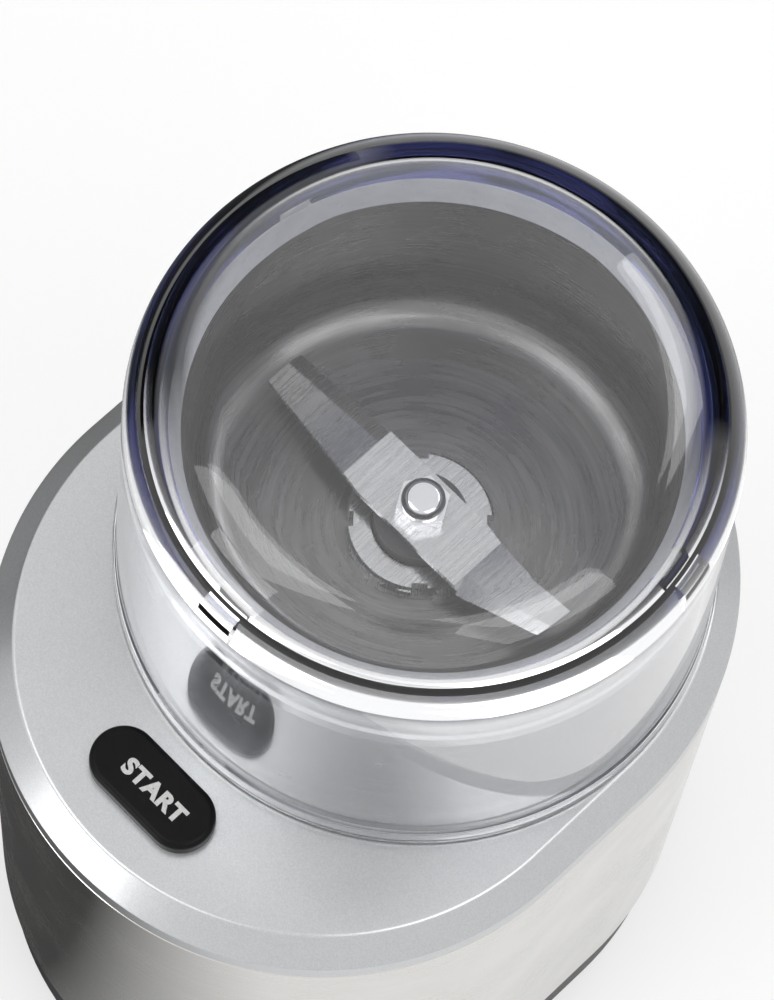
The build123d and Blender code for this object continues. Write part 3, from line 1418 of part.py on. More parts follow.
export_step(switch_guide.part, "parts/switch_guide.step")

# --- Switch board with the start switch and the interlock switch ---
with BuildPart() as switch_board:
    with BuildSketch(Plane((0, post_y, board_height))):
        RectangleRounded(2 * (post_x + board_margin), post_row_gap + 2 * board_margin, board_corner)
        with GridLocations(2 * post_x, post_row_gap, 2, 2):
            Circle(board_screw_radius + assembly_gap, mode=Mode.SUBTRACT)
    extrude(amount=board_sheet)
switch_board.part.label = "switch_board"
export_step(switch_board.part, "parts/switch_board.step")

board_screws = pan_screws(
    post_spots,
    board_height - assembly_gap,
    board_screw_head,
    board_screw_head_height,
    board_screw_radius - assembly_gap,
    guide_floor - board_height + board_screw_grip,
)
board_screws.part.label = "board_screws"
export_step(board_screws.part, "parts/board_screws.step")

switch_seat = board_height + board_sheet + assembly_gap
with BuildPart() as start_switch:
    with BuildSketch(Plane((0, button_y, switch_seat))):
        RectangleRounded(switch_length, switch_width, switch_corner)
    extrude(amount=switch_height)
    with BuildSketch(Plane((0, button_y, switch_seat))):
        Circle(plunger_radius)
    extrude(amount=start_plunger_top - switch_seat)
start_switch.part.label = "start_switch"
export_step(start_switch.part, "parts/start_switch.step")

with BuildPart() as interlock_switch:
    with BuildSketch(Plane((0, pin_y, switch_seat))):
        RectangleRounded(switch_length, switch_width, switch_corner)
    extrude(amount=switch_height)
    with BuildSketch(Plane((0, pin_y, switch_seat))):
        Circle(plunger_radius)
    extrude(amount=start_plunger_top - switch_seat)
interlock_switch.part.label = "interlock_switch"
export_step(interlock_switch.part, "parts/interlock_switch.step")
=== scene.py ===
import json
from math import atan2, cos, degrees, pi, radians, sin, tan

import bmesh
import bpy
from mathutils import Matrix, Quaternion, Vector


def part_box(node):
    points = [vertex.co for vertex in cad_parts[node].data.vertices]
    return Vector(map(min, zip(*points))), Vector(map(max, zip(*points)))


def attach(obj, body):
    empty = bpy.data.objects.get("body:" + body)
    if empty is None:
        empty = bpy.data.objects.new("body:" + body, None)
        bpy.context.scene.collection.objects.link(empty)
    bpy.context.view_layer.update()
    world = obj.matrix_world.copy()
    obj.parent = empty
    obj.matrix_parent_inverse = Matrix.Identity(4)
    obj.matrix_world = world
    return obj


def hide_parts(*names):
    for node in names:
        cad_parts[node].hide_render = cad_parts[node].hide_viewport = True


# Looks of an electric spice grinder. Metres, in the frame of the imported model: +Z is up, the start
# button is towards -Y, and the bowl and the motor share one upright axis behind the middle.

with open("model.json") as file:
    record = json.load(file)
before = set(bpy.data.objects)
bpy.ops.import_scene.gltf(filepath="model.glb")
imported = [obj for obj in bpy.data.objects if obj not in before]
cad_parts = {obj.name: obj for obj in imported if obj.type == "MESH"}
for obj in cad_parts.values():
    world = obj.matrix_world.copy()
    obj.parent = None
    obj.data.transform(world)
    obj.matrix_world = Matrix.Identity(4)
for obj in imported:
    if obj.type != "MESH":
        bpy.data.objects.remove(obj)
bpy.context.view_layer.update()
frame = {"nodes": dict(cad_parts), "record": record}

# --- Sizes read from the frame ---
MM = 0.001
deck_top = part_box("deck_cover")[1].z
body_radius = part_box("steel_sleeve")[1].x
housing_low, housing_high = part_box("inner_housing")
half_stretch = (housing_high.y - housing_low.y) / 2 - housing_high.x  # of the racetrack's straight sides
bowl_axis = Vector((0, half_stretch, 0))
lid_foot, lid_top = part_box("lid_shell")[0].z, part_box("lid_shell")[1].z
lid_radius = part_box("lid_shell")[1].x
rim_bottom, key_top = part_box("bowl_rim")[0].z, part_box("bowl_rim")[1].z
rim_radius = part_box("bowl_rim")[1].x
band_bottom, band_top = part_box("rim_band")[0].z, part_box("rim_band")[1].z
band_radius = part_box("rim_band")[1].x
bowl_sleeve_bottom, bowl_sleeve_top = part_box("bowl_sleeve")[0].z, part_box("bowl_sleeve")[1].z
bowl_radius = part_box("bowl_sleeve")[1].x
cup_bottom, cup_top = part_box("bowl_cup")[0].z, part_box("bowl_cup")[1].z
cup_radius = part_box("bowl_cup")[1].x
button_low, button_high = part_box("start_button")

# --- Sizes that the frame's boxes don't show ---
seat_gap = 0.3 * MM  # between faces that only touch
hand_fit = 0.3 * MM  # round what lifts out
fixed_gap = 0.1 * MM  # between pieces that are fixed together
sheet = 0.8 * MM

deck_bevel = 5.5 * MM  # height of the sloping edge
deck_slope_run = 5.0 * MM
deck_band = 4.5 * MM
deck_crease = 1.1 * MM  # rounding between the flat and the slope
deck_fold = 0.5 * MM  # rounding between the slope and the band
deck_foot_edge = 0.15 * MM
deck_lip = 3.0 * MM  # how far the deck reaches down inside the sleeve
deck_lip_inset = 3.4 * MM
deck_skin = 2.8 * MM
deck_wall = 2.6 * MM
flat_border = 2.5 * MM  # strips of the flat and of its underside that are made with the edge
skin_border = 2.0 * MM
well_radius = 47.6 * MM
well_depth = 9.5 * MM
well_wall = 2.4 * MM
well_skin = 2.5 * MM
well_edge = 0.5 * MM
well_corner = 0.6 * MM
collar_radius = 6.4 * MM
collar_wall = 1.4 * MM
collar_height = 2.2 * MM
opening_edge = 0.3 * MM
pin_hole_radius = 1.25 * MM

sleeve_edge = 0.25 * MM
seam_depth = 2.0 * MM  # part of the sleeve's back that is searched for the seam
seam_reach = 0.9 * MM
seam_half = 0.2 * MM

button_end_radius = 6.55 * MM
button_gap = 0.5 * MM
button_stretch = 15.3 * MM
button_edge = 1.3 * MM
button_flange = 1.3 * MM  # past the cap
flange_thickness = 2.0 * MM
flange_hole = 3.0 * MM
stem_radius = 2.0 * MM
stem_edge = 0.4 * MM
word_height = 3.6 * MM
word_length = 15.4 * MM
word_size = 4.9 * MM  # of the type, before it is fitted
word_shift = (1.0 * MM, -0.4 * MM)
print_lift = 0.02 * MM

cup_corner = 9.0 * MM
cup_hole = 9.1 * MM
lip_flare = 2.5 * MM
lip_edge = 0.45 * MM
lip_key_width = 6.0 * MM
lip_key_depth = 1.6 * MM
lip_key_inset = 1.0 * MM
lip_key_root = 0.5 * MM  # part of a key that is sunk in the lip
lip_key_edge = 0.3 * MM
lip_key_angles = (radians(-103), 0.0, radians(103))
band_bead = 4.6 * MM
band_round = 0.35 * MM
band_edge = 0.15 * MM
bowl_sheet = 0.75 * MM
bowl_edge = 0.2 * MM

lid_bead = 5.6 * MM
lid_bead_proud = 0.6 * MM
lid_shoulder = 17.5 * MM
lid_shoulder_reach = 55.6 * MM
lid_skin = 2.4 * MM
lid_ring_bore = 50.0 * MM
lid_foot_wall = 2.5 * MM
lid_foot_edge = 0.4 * MM
lid_skirt_gap = 0.5 * MM  # from the bowl's wall to the skirt, at the ring
lid_skirt_lean = 1 / 30
lid_notch_depth = 3.0 * MM
ring_tint_and_shade_hold = 3.5 * MM  # below the ring's seat the tint and painted shade are full
ring_tint_and_shade_fall = 6.0 * MM  # and here they have gone
tint_and_shade_height = 15.6 * MM  # above the rim
tint_and_shade_fade = 1.2 * MM
painted_shade_side = 40 * MM  # how far towards the front the painted shade of the shoulder goes
# Share of the tint and painted shade at the lid's foot edge
foot_tint_and_shade = 0.6

rim_height = 64.0 * MM  # above the deck
rim_top = lid_foot - seat_gap + rim_height
ring_seat = rim_top + seat_gap
notch_top = ring_seat + lid_notch_depth
notch_reach = rim_radius - lip_key_inset + lip_key_depth / 2 + hand_fit
button_y = (button_low.y + button_high.y) / 2
pin_y = (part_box("interlock_pin")[0].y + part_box("interlock_pin")[1].y) / 2

ROUND_STEPS = 256
END_STEPS = 128
LID_STEPS = 360
HOLE_STEPS = 48
STEM_STEPS = 40
LONG_STRETCH = 1.9 * MM
HOLD = 0.3 * MM
MERGE = 1e-7  # vertices that are closer become one
TOUCH = 1e-6  # closer than this counts as the same place
SLIP = 1e-5  # allowance for points on a circle
GRAIN = 0.0002  # depth of the bump of grain and brush lines
HAIRLINE = 0.0001


# --- Modelling helpers ---
def arc(centre, radius, start, end, steps):
    """Points on a round stretch of an outline, with its angles in degrees."""
    turns = [radians(start + (end - start) * i / steps) for i in range(steps + 1)]
    return [(centre[0] + radius * cos(t), centre[1] + radius * sin(t)) for t in turns]


def outline(points, closed=True):
    """A bmesh with a profile in the XZ plane, from (distance from the axis, height) pairs.

    Long straight stretches get a point near each end, which keeps their shading flat.
    """
    bm = bmesh.new()
    verts = [bm.verts.new((reach, 0.0, height)) for reach, height in points]
    for a, b in zip(verts, verts[1:] + verts[:1] if closed else verts[1:]):
        edge = bm.edges.new((a, b))
        length = edge.calc_length()
        if length > LONG_STRETCH:
            rest, _ = bmesh.utils.edge_split(edge, a, HOLD / length)
            bmesh.utils.edge_split(rest if b in rest.verts else edge, b, HOLD / length)
    return bm


def turn(bm, steps=ROUND_STEPS):
    """Spins a profile once round the Z axis."""
    bmesh.ops.spin(
        bm, geom=bm.verts[:] + bm.edges[:], cent=(0, 0, 0), axis=(0, 0, 1), angle=2 * pi,
        steps=steps, use_merge=True,
    )
    bmesh.ops.remove_doubles(bm, verts=bm.verts[:], dist=MERGE)


def sweep_racetrack(bm, half_straight):
    """Takes a profile that stands at +X once round a racetrack whose straight sides run along Y."""
    bmesh.ops.translate(bm, verts=bm.verts[:], vec=(0, half_straight, 0))
    moving = bm.verts[:] + bm.edges[:]
    for side in (1, -1):
        spun = bmesh.ops.spin(
            bm, geom=moving, cent=(0, side * half_straight, 0), axis=(0, 0, 1), angle=pi,
            steps=END_STEPS,
        )
        ends = [g for g in spun["geom_last"] if isinstance(g, bmesh.types.BMEdge)]
        straight = bmesh.ops.extrude_edge_only(bm, edges=ends)["geom"]
        bmesh.ops.translate(bm, verts=only_verts(straight), vec=(0, -side * 2 * half_straight, 0))
        moving = [g for g in straight if not isinstance(g, bmesh.types.BMFace)]
    bmesh.ops.remove_doubles(bm, verts=bm.verts[:], dist=MERGE)


def only_verts(geometry):
    """The vertices in what an operator gives back."""
    return [g for g in geometry if isinstance(g, bmesh.types.BMVert)]


def quarter_turn(bm):
    """Turns a piece so that what lay along Y lies along X."""
    bmesh.ops.rotate(bm, verts=bm.verts[:], cent=(0, 0, 0), matrix=Matrix.Rotation(pi / 2, 3, "Z"))


def fade(value, none, full):
    """0 at one value and 1 at the other, with a soft turn at both."""
    part = min(1.0, max(0.0, (value - none) / (full - none)))
    return part * part * (3 - 2 * part)


def loop_at(bm, height, test=None):
    """Boundary edges that lie at one height."""
    level = [
        e for e in bm.edges
        if e.is_boundary and all(abs(v.co.z - height) < TOUCH for v in e.verts)
    ]
    return [e for e in level if test is None or test(e)]


def add_block(bm, centre, size, turned):
    """Adds a box, turned about Z through its own centre."""
    place = Matrix.Translation(centre) @ Matrix.Rotation(turned, 4, "Z")
    bmesh.ops.create_cube(bm, size=1.0, matrix=place @ Matrix.Diagonal((*size, 1.0)))


def join(bm, other):
    """Adds a copy of another bmesh, which is then freed."""
    mesh = bpy.data.meshes.new("joined")
    other.to_mesh(mesh)
    other.free()
    bm.from_mesh(mesh)
    bpy.data.meshes.remove(mesh)


def add_object(name, bm, material):
    """Turns a bmesh into an object with one material."""
    mesh = bpy.data.meshes.new(name)
    bm.to_mesh(mesh)
    bm.free()
    mesh.materials.append(material)
    piece = bpy.data.objects.new(name, mesh)
    bpy.context.scene.collection.objects.link(piece)
    return piece


def finish_piece(name, bm, material, body, node, sharp=32):
    """Makes the object, with outward normals and its material, ties it to its body, and hides the CAD node
    that it stands for.
    """
    bmesh.ops.remove_doubles(bm, verts=bm.verts[:], dist=MERGE)
    bmesh.ops.recalc_face_normals(bm, faces=bm.faces[:])
    piece = add_object(name, bm, material)
    piece.data.shade_smooth()
    piece.data.set_sharp_from_angle(angle=radians(sharp))
    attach(piece, body)
    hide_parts(node)


def on_bowl_axis(bm):
    """Moves a piece that was turned round Z to the bowl's axis."""
    bmesh.ops.translate(bm, verts=bm.verts[:], vec=bowl_axis)


# --- Material helpers ---
def new_material(name, color, metallic=0.0, roughness=0.5, **values):
    """A Principled material whose even values are set on the shader's own sockets."""
    material = bpy.data.materials.new(name)
    material.use_nodes = True
    shader = material.node_tree.nodes["Principled BSDF"]
    shader.inputs["Base Color"].default_value = (*color, 1.0)
    shader.inputs["Metallic"].default_value = metallic
    shader.inputs["Roughness"].default_value = roughness
    for socket, value in values.items():
        shader.inputs[socket.replace("_", " ")].default_value = value
    return material, material.node_tree, shader


def add_node(tree, kind, settings=None, **inputs):
    """Adds a node, sets its properties, and sets or links its inputs.

    Inputs go by name, or by number as i0, i1 and so on.
    """
    node = tree.nodes.new(kind)
    for key, value in (settings or {}).items():
        setattr(node, key, value)
    for key, value in inputs.items():
        numbered = key[0] == "i" and key[1:].isdigit()
        socket = node.inputs[int(key[1:]) if numbered else key.replace("_", " ")]
        if isinstance(value, bpy.types.NodeSocket):
            tree.links.new(value, socket)
        else:
            socket.default_value = value
    return node


def combine(tree, operation, first, second):
    """Result of a Math node."""
    node = add_node(tree, "ShaderNodeMath", {"operation": operation}, i0=first, i1=second)
    return node.outputs["Value"]


def vector_op(tree, operation, **inputs):
    """A Vector Math node."""
    return add_node(tree, "ShaderNodeVectorMath", {"operation": operation}, **inputs)


def object_place(tree, centre=(0, 0, 0)):
    """Object coordinates measured from a point."""
    coordinates = add_node(tree, "ShaderNodeTexCoord")
    shift = add_node(tree, "ShaderNodeMapping", Vector=coordinates.outputs["Object"])
    shift.inputs["Location"].default_value = -Vector(centre)
    return shift.outputs["Vector"]


def scaled(tree, place, factors):
    """A place with each of its coordinates multiplied."""
    return vector_op(tree, "MULTIPLY", i0=place, i1=factors).outputs["Vector"]


def noise(tree, place, scale, detail=2.0, rough=0.5):
    """Noise at a place."""
    texture = add_node(
        tree, "ShaderNodeTexNoise", Vector=place, Scale=scale, Detail=detail, Roughness=rough
    )
    return texture.outputs["Fac"]


def spread(tree, value, low, high, from_low=0.3, from_high=0.7):
    """Maps a value to a range."""
    mapped = add_node(
        tree, "ShaderNodeMapRange", i0=value, i1=from_low, i2=from_high, i3=low, i4=high
    )
    return mapped.outputs["Result"]


def tint(tree, value, dark, light):
    """Mixes two colours by a value."""
    mix = add_node(
        tree, "ShaderNodeMix", {"data_type": "RGBA"}, i0=value, i6=(*dark, 1.0), i7=(*light, 1.0)
    )
    return mix.outputs[2]


def mottle(tree, shader, value, dark, light, *limits):
    """Colours the surface between two tones by a value."""
    colour = tint(tree, spread(tree, value, 0.0, 1.0, *limits), dark, light)
    tree.links.new(colour, shader.inputs["Base Color"])


def wear(tree, shader, value, low, high, *limits):
    """Varies the surface's roughness by a value."""
    tree.links.new(spread(tree, value, low, high, *limits), shader.inputs["Roughness"])


def bump(tree, shader, height, strength, distance):
    """Feeds a height to the shader's normal."""
    node = add_node(tree, "ShaderNodeBump", Height=height, Strength=strength, Distance=distance)
    tree.links.new(node.outputs["Normal"], shader.inputs["Normal"])


def turned_lines(tree, along, across):
    """A place in which noise becomes fine lines round the bowl's axis, on walls and floors alike."""
    place = object_place(tree, bowl_axis)
    flat = scaled(tree, place, (1, 1, 0))
    reach = vector_op(tree, "LENGTH", i0=flat).outputs["Value"]
    around = vector_op(tree, "NORMALIZE", i0=flat).outputs["Vector"]
    height = add_node(tree, "ShaderNodeSeparateXYZ", Vector=place).outputs["Z"]
    lifted = combine(tree, "MULTIPLY", combine(tree, "ADD", reach, height), across)
    up = add_node(tree, "ShaderNodeCombineXYZ", Z=lifted).outputs["Vector"]
    wide = scaled(tree, around, (along, along, 0))
    return vector_op(tree, "ADD", i0=wide, i1=up).outputs["Vector"]


def seen_rays(tree):
    """1 for camera, glossy and transmitted rays, and 0 for those that only carry light."""
    path = add_node(tree, "ShaderNodeLightPath")
    seen = path.outputs["Is Camera Ray"]
    for ray in ("Is Glossy Ray", "Is Transmission Ray"):
        seen = combine(tree, "MAXIMUM", seen, path.outputs[ray])
    return seen


# --- Materials ---
def silver_paint():
    """Satin silver paint with a fine metallic sparkle."""
    material, tree, shader = new_material(
        "silver_paint", (0.54, 0.55, 0.56), metallic=0.85, roughness=0.3, Coat_Weight=0.1,
        Coat_Roughness=0.2,
    )
    place = object_place(tree)
    flakes = add_node(tree, "ShaderNodeTexVoronoi", Vector=place, Scale=5200.0).outputs["Color"]
    flake = add_node(tree, "ShaderNodeSeparateColor", Color=flakes).outputs["Red"]
    mottle(tree, shader, flake, (0.5, 0.51, 0.52), (0.58, 0.59, 0.6), 0.0, 1.0)
    wear(tree, shader, noise(tree, place, 90.0), 0.28, 0.33)
    bump(tree, shader, flake, 0.08, GRAIN)
    return material


def brushed_steel(name, color, dark, rough, lines, depth, wrapped):
    """Steel with fine brush lines: round the bowl's axis, or level along an upright wall."""
    material, tree, shader = new_material(name, color, metallic=1.0, roughness=rough)
    if wrapped:
        place = turned_lines(tree, 1.2, lines)
    else:
        place = scaled(tree, object_place(tree), (14, 14, lines))
    fine = noise(tree, place, 1.0, 3.0, 0.6)
    stain = noise(tree, object_place(tree), 60.0)
    mottle(tree, shader, fine, dark, color)
    both = combine(tree, "MULTIPLY", fine, stain)
    wear(tree, shader, both, rough * 0.75, rough * 1.3, 0.15, 0.4)
    bump(tree, shader, fine, depth, GRAIN)
    return material


def satin_wall():
    """Bowl wall: satin steel brushed round the axis, whose haze runs upwards."""
    material, tree, shader = new_material(
        "bowl_steel", (0.42, 0.42, 0.425), metallic=1.0, roughness=0.3, Anisotropic=0.85,
        Anisotropic_Rotation=0.25,
    )
    fine = noise(tree, turned_lines(tree, 1.2, 1500.0), 1.0, 3.0, 0.6)
    mottle(tree, shader, fine, (0.38, 0.38, 0.385), (0.45, 0.45, 0.455))
    wear(tree, shader, noise(tree, object_place(tree), 60.0), 0.2, 0.28)
    bump(tree, shader, fine, 0.01, GRAIN)
    return material


def polished_steel():
    """Bright steel with faint hairlines."""
    material, tree, shader = new_material(
        "polished_steel", (0.72, 0.72, 0.73), metallic=1.0, roughness=0.08
    )
    lines = noise(tree, turned_lines(tree, 2.0, 3500.0), 1.0, 2.0)
    wear(tree, shader, lines, 0.056, 0.128)
    bump(tree, shader, lines, 0.05, HAIRLINE)
    return material


def grey_moulding():
    """Smooth pale grey plastic of the bowl's lip."""
    material, tree, shader = new_material(
        "grey_moulding", (0.6, 0.61, 0.62), roughness=0.3, Coat_Weight=0.15, Coat_Roughness=0.15
    )
    place = object_place(tree)
    cloud = noise(tree, place, 220.0, 3.0)
    mottle(tree, shader, cloud, (0.56, 0.57, 0.585), (0.63, 0.64, 0.65))
    wear(tree, shader, noise(tree, place, 900.0), 0.26, 0.36)
    bump(tree, shader, noise(tree, place, 2500.0), 0.04, HAIRLINE)
    return material


def clear_plastic():
    """Clear moulded plastic with a faint blue tint, coloured navy and violet at its ring by painted shade
    and painted reflections.
    """
    clear = (0.97, 0.975, 0.99)
    # These two colours hold the ring's blue tint together with painted shade (navy) and painted
    # reflections (violet).
    navy, violet = (0.0008, 0.0013, 0.006), (0.009, 0.0105, 0.075)
    material, tree, shader = new_material(
        "clear_plastic", clear, roughness=0.01, Transmission_Weight=1.0, IOR=1.57
    )
    # The mark says where the ring's colour is painted: the tint with painted shade and reflections.
    ring = add_node(tree, "ShaderNodeAttribute", {"attribute_name": "tint_and_shade"}).outputs["Fac"]
    # Noise bands round the axis paint the shapes of reflections into the ring's colour.
    painted_reflection_bands = noise(tree, turned_lines(tree, 1.7, 160.0), 1.0, 1.0)
    deep = tint(tree, spread(tree, painted_reflection_bands, 0.0, 1.0, 0.46, 0.54), navy, violet)
    colour = add_node(
        tree, "ShaderNodeMix", {"data_type": "RGBA"}, i0=ring, i6=(*clear, 1.0), i7=deep
    )
    tree.links.new(colour.outputs[2], shader.inputs["Base Color"])
    wear(tree, shader, noise(tree, object_place(tree), 500.0, 4.0), 0.0, 0.02, 0.45, 0.8)
    let_light_through(tree, shader, (0.93, 0.94, 0.98))
    return material


def let_light_through(tree, shader, colour):
    """Lets shadow rays pass, tinted, so that what lies under clear plastic is lit."""
    through = add_node(tree, "ShaderNodeBsdfTransparent", Color=(*colour, 1.0))
    shadow = add_node(tree, "ShaderNodeLightPath").outputs["Is Shadow Ray"]
    mix = add_node(
        tree, "ShaderNodeMixShader", i0=shadow, i1=shader.outputs["BSDF"], i2=through.outputs["BSDF"]
    )
    tree.links.new(mix.outputs["Shader"], tree.nodes["Material Output"].inputs["Surface"])


def plastic(name, color, pale, rough, grain, depth, gloss=0.5):
    """Moulded plastic with a fine grain and slightly uneven gloss."""
    material, tree, shader = new_material(name, color, roughness=rough, Specular_IOR_Level=gloss)
    place = object_place(tree)
    mottle(tree, shader, noise(tree, place, 130.0, 3.0), color, pale)
    speck = noise(tree, place, grain, 2.0)
    wear(tree, shader, speck, rough * 0.85, rough * 1.2)
    bump(tree, shader, speck, depth, GRAIN)
    return material


def metal(name, color, dark, rough, stretch, depth):
    """Machined, cast or laminated metal, whose marks are stretched by three factors."""
    material, tree, shader = new_material(name, color, metallic=1.0, roughness=rough)
    marks = noise(tree, scaled(tree, object_place(tree), stretch), 1.0, 3.0, 0.6)
    mottle(tree, shader, marks, dark, color)
    wear(tree, shader, marks, rough * 1.3, rough * 0.8)
    bump(tree, shader, marks, depth, GRAIN)
    return material


def circuit_board():
    """Green lacquered board with faint tracks."""
    material, tree, shader = new_material("circuit_board", (0.03, 0.16, 0.07), roughness=0.3)
    bricks = add_node(
        tree, "ShaderNodeTexBrick", Vector=object_place(tree), Scale=160.0, Mortar_Size=0.05,
        Color1=(0.03, 0.17, 0.07, 1.0), Color2=(0.028, 0.14, 0.06, 1.0), Mortar=(0.05, 0.26, 0.11, 1.0),
    )
    tree.links.new(bricks.outputs["Color"], shader.inputs["Base Color"])
    bump(tree, shader, bricks.outputs["Fac"], 0.2, GRAIN)
    return material


def print_white():
    """White printed lettering, very slightly worn."""
    material, tree, shader = new_material("print_white", (0.72, 0.72, 0.71), roughness=0.45)
    cloud = noise(tree, object_place(tree), 1800.0, 3.0)
    mottle(tree, shader, cloud, (0.62, 0.62, 0.61), (0.75, 0.75, 0.74))
    return material


def make_materials():
    """All finishes by the name of the record's slot, with a few more for single pieces."""
    return {
        "silver_deck": silver_paint(),
        "stainless": brushed_steel(
            "body_steel", (0.66, 0.65, 0.63), (0.6, 0.59, 0.57),
            rough=0.24, lines=2600.0, depth=0.03, wrapped=False,
        ),
        "bowl_steel": satin_wall(),
        # The cup's steel is made very dark, which paints the shade inside the bowl into its colour.
        "cup_steel": brushed_steel(
            "cup_steel", (0.2, 0.197, 0.194), (0.11, 0.108, 0.106),
            rough=0.3, lines=900.0, depth=0.05, wrapped=True,
        ),
        "polished": polished_steel(),
        "grey_plastic": grey_moulding(),
        "dark_plastic": plastic(
            "dark_plastic", (0.03, 0.03, 0.032), (0.045, 0.045, 0.047),
            rough=0.5, grain=1800.0, depth=0.25,
        ),
        "black_button": plastic(
            "black_button", (0.004, 0.004, 0.0045), (0.006, 0.006, 0.0065),
            rough=0.36, grain=3000.0, depth=0.03, gloss=0.12,
        ),
        "clear_lid": clear_plastic(),
        "rubber": plastic(
            "rubber", (0.018, 0.018, 0.018), (0.03, 0.03, 0.03), rough=0.75, grain=2500.0, depth=0.3
        ),
        "bright_steel": metal(
            "ground_steel", (0.56, 0.56, 0.56), (0.42, 0.42, 0.42),
            rough=0.24, stretch=(2200, 60, 60), depth=0.04,
        ),
        "alloy": metal(
            "cast_alloy", (0.6, 0.6, 0.6), (0.45, 0.45, 0.45),
            rough=0.42, stretch=(900, 900, 900), depth=0.3,
        ),
        "iron": metal(
            "laminated_iron", (0.2, 0.2, 0.21), (0.1, 0.1, 0.11),
            rough=0.4, stretch=(12, 12, 2000), depth=0.4,
        ),
        "copper": metal(
            "enamelled_wire", (0.6, 0.24, 0.1), (0.38, 0.13, 0.06),
            rough=0.3, stretch=(60, 60, 2400), depth=0.5,
        ),
        "bronze": metal(
            "sintered_bronze", (0.5, 0.34, 0.14), (0.36, 0.23, 0.09),
            rough=0.45, stretch=(2400, 2400, 2400), depth=0.3,
        ),
        "carbon": plastic(
            "carbon", (0.025, 0.025, 0.025), (0.05, 0.05, 0.05), rough=0.6, grain=2400.0, depth=0.2
        ),
        "green_board": circuit_board(),
        "print_white": print_white(),
    }


def finish_cad_nodes(materials):
    """Gives every carried-over CAD node the finish of its slot."""
    slots = {part["node"]: part["material_slot"] for part in frame["record"]["subparts"]}
    for name, node in frame["nodes"].items():
        for slot in node.material_slots:
            slot.material = materials[slots[name]]


# --- Body pieces ---
def deck_edge(underside):
    """Profile from the flat over the sloping edge to the lip inside the sleeve."""
    flat = body_radius - deck_slope_run
    band = deck_top - deck_bevel
    bottom = band - deck_band
    cavity = flat - deck_wall
    lip = body_radius - deck_lip_inset
    slope = atan2(deck_bevel, deck_slope_run)
    crease = deck_crease * tan(slope / 2)
    fold = deck_fold * tan((pi / 2 - slope) / 2)
    lean = 90 - degrees(slope)
    return outline([
        (flat - flat_border, deck_top),
        *arc((flat - crease, deck_top - deck_crease), deck_crease, 90, lean, 8),
        *arc((body_radius - deck_fold, band - fold), deck_fold, lean, 0, 5),
        (body_radius, bottom + deck_foot_edge), (body_radius - deck_foot_edge, bottom), (lip, bottom),
        (lip, bottom - deck_lip), (lip - deck_wall, bottom - deck_lip), (lip - deck_wall, bottom),
        (cavity, bottom + deck_wall), (cavity, underside), (cavity - skin_border, underside),
    ], closed=False)


def deck_well(underside):
    """Round well that the bowl stands in, with a collar round the rotor's shaft."""
    floor = deck_top - well_depth
    under = floor - well_skin
    bore = collar_radius - collar_wall
    well = outline([
        (well_radius + well_edge, deck_top), (well_radius, deck_top - well_edge),
        (well_radius, floor + well_corner), (well_radius - well_corner, floor),
        (collar_radius, floor), (collar_radius, floor + collar_height),
        (bore, floor + collar_height), (bore, under),
        (well_radius + well_wall, under), (well_radius + well_wall, underside),
    ], closed=False)
    turn(well)
    on_bowl_axis(well)
    return well


def deck_opening(y, half_straight, radius, low):
    """Pill-shaped or round opening in the deck, with a softened edge."""
    opening = outline([
        (radius + opening_edge, deck_top), (radius, deck_top - opening_edge), (radius, low),
    ], closed=False)
    if half_straight:
        sweep_racetrack(opening, half_straight)
        quarter_turn(opening)
    else:
        turn(opening, HOLE_STEPS)
    bmesh.ops.translate(opening, verts=opening.verts[:], vec=(0, y, 0))
    return opening


def make_deck(materials):
    """Deck cover: band, sloping edge, flat top, the bowl's well and openings for button and pin.

    The fill at the top runs across the well and both openings, so a thin sheet closes them there.
    The fill of the underside leaves them open.
    """
    underside = deck_top - deck_skin
    shell = deck_edge(underside)
    sweep_racetrack(shell, half_stretch)
    join(shell, deck_well(underside))
    join(shell, deck_opening(button_y, button_stretch / 2, button_end_radius + button_gap, underside))
    join(shell, deck_opening(pin_y, 0, pin_hole_radius, underside))
    for height in (deck_top, underside):
        border = loop_at(shell, height)
        bmesh.ops.triangle_fill(shell, use_beauty=True, edges=border, normal=(0, 0, 1))
    finish_piece(
        "deck", shell, materials["silver_deck"], "housing", "deck_cover", sharp=28
    )


def make_body_sleeve(materials):
    """Stainless sleeve: one bent sheet with softened edges, split at the back."""
    low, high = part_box("steel_sleeve")
    inner = body_radius - sheet
    bm = outline([
        (inner, low.z), (body_radius - sleeve_edge, low.z), (body_radius, low.z + sleeve_edge),
        (body_radius, high.z - sleeve_edge), (body_radius - sleeve_edge, high.z), (inner, high.z),
    ])
    sweep_racetrack(bm, half_stretch)
    at_back = [v for v in bm.verts if v.co.y > half_stretch + body_radius - seam_depth]
    for v in at_back:
        if TOUCH < abs(v.co.x) < seam_reach:
            v.co.x = seam_half if v.co.x > 0 else -seam_half
    bmesh.ops.delete(bm, geom=[v for v in at_back if abs(v.co.x) < TOUCH], context="VERTS")
    bmesh.ops.holes_fill(bm, edges=[e for e in bm.edges if e.is_boundary], sides=8)
    finish_piece("body_sleeve", bm, materials["stainless"], "housing", "steel_sleeve")


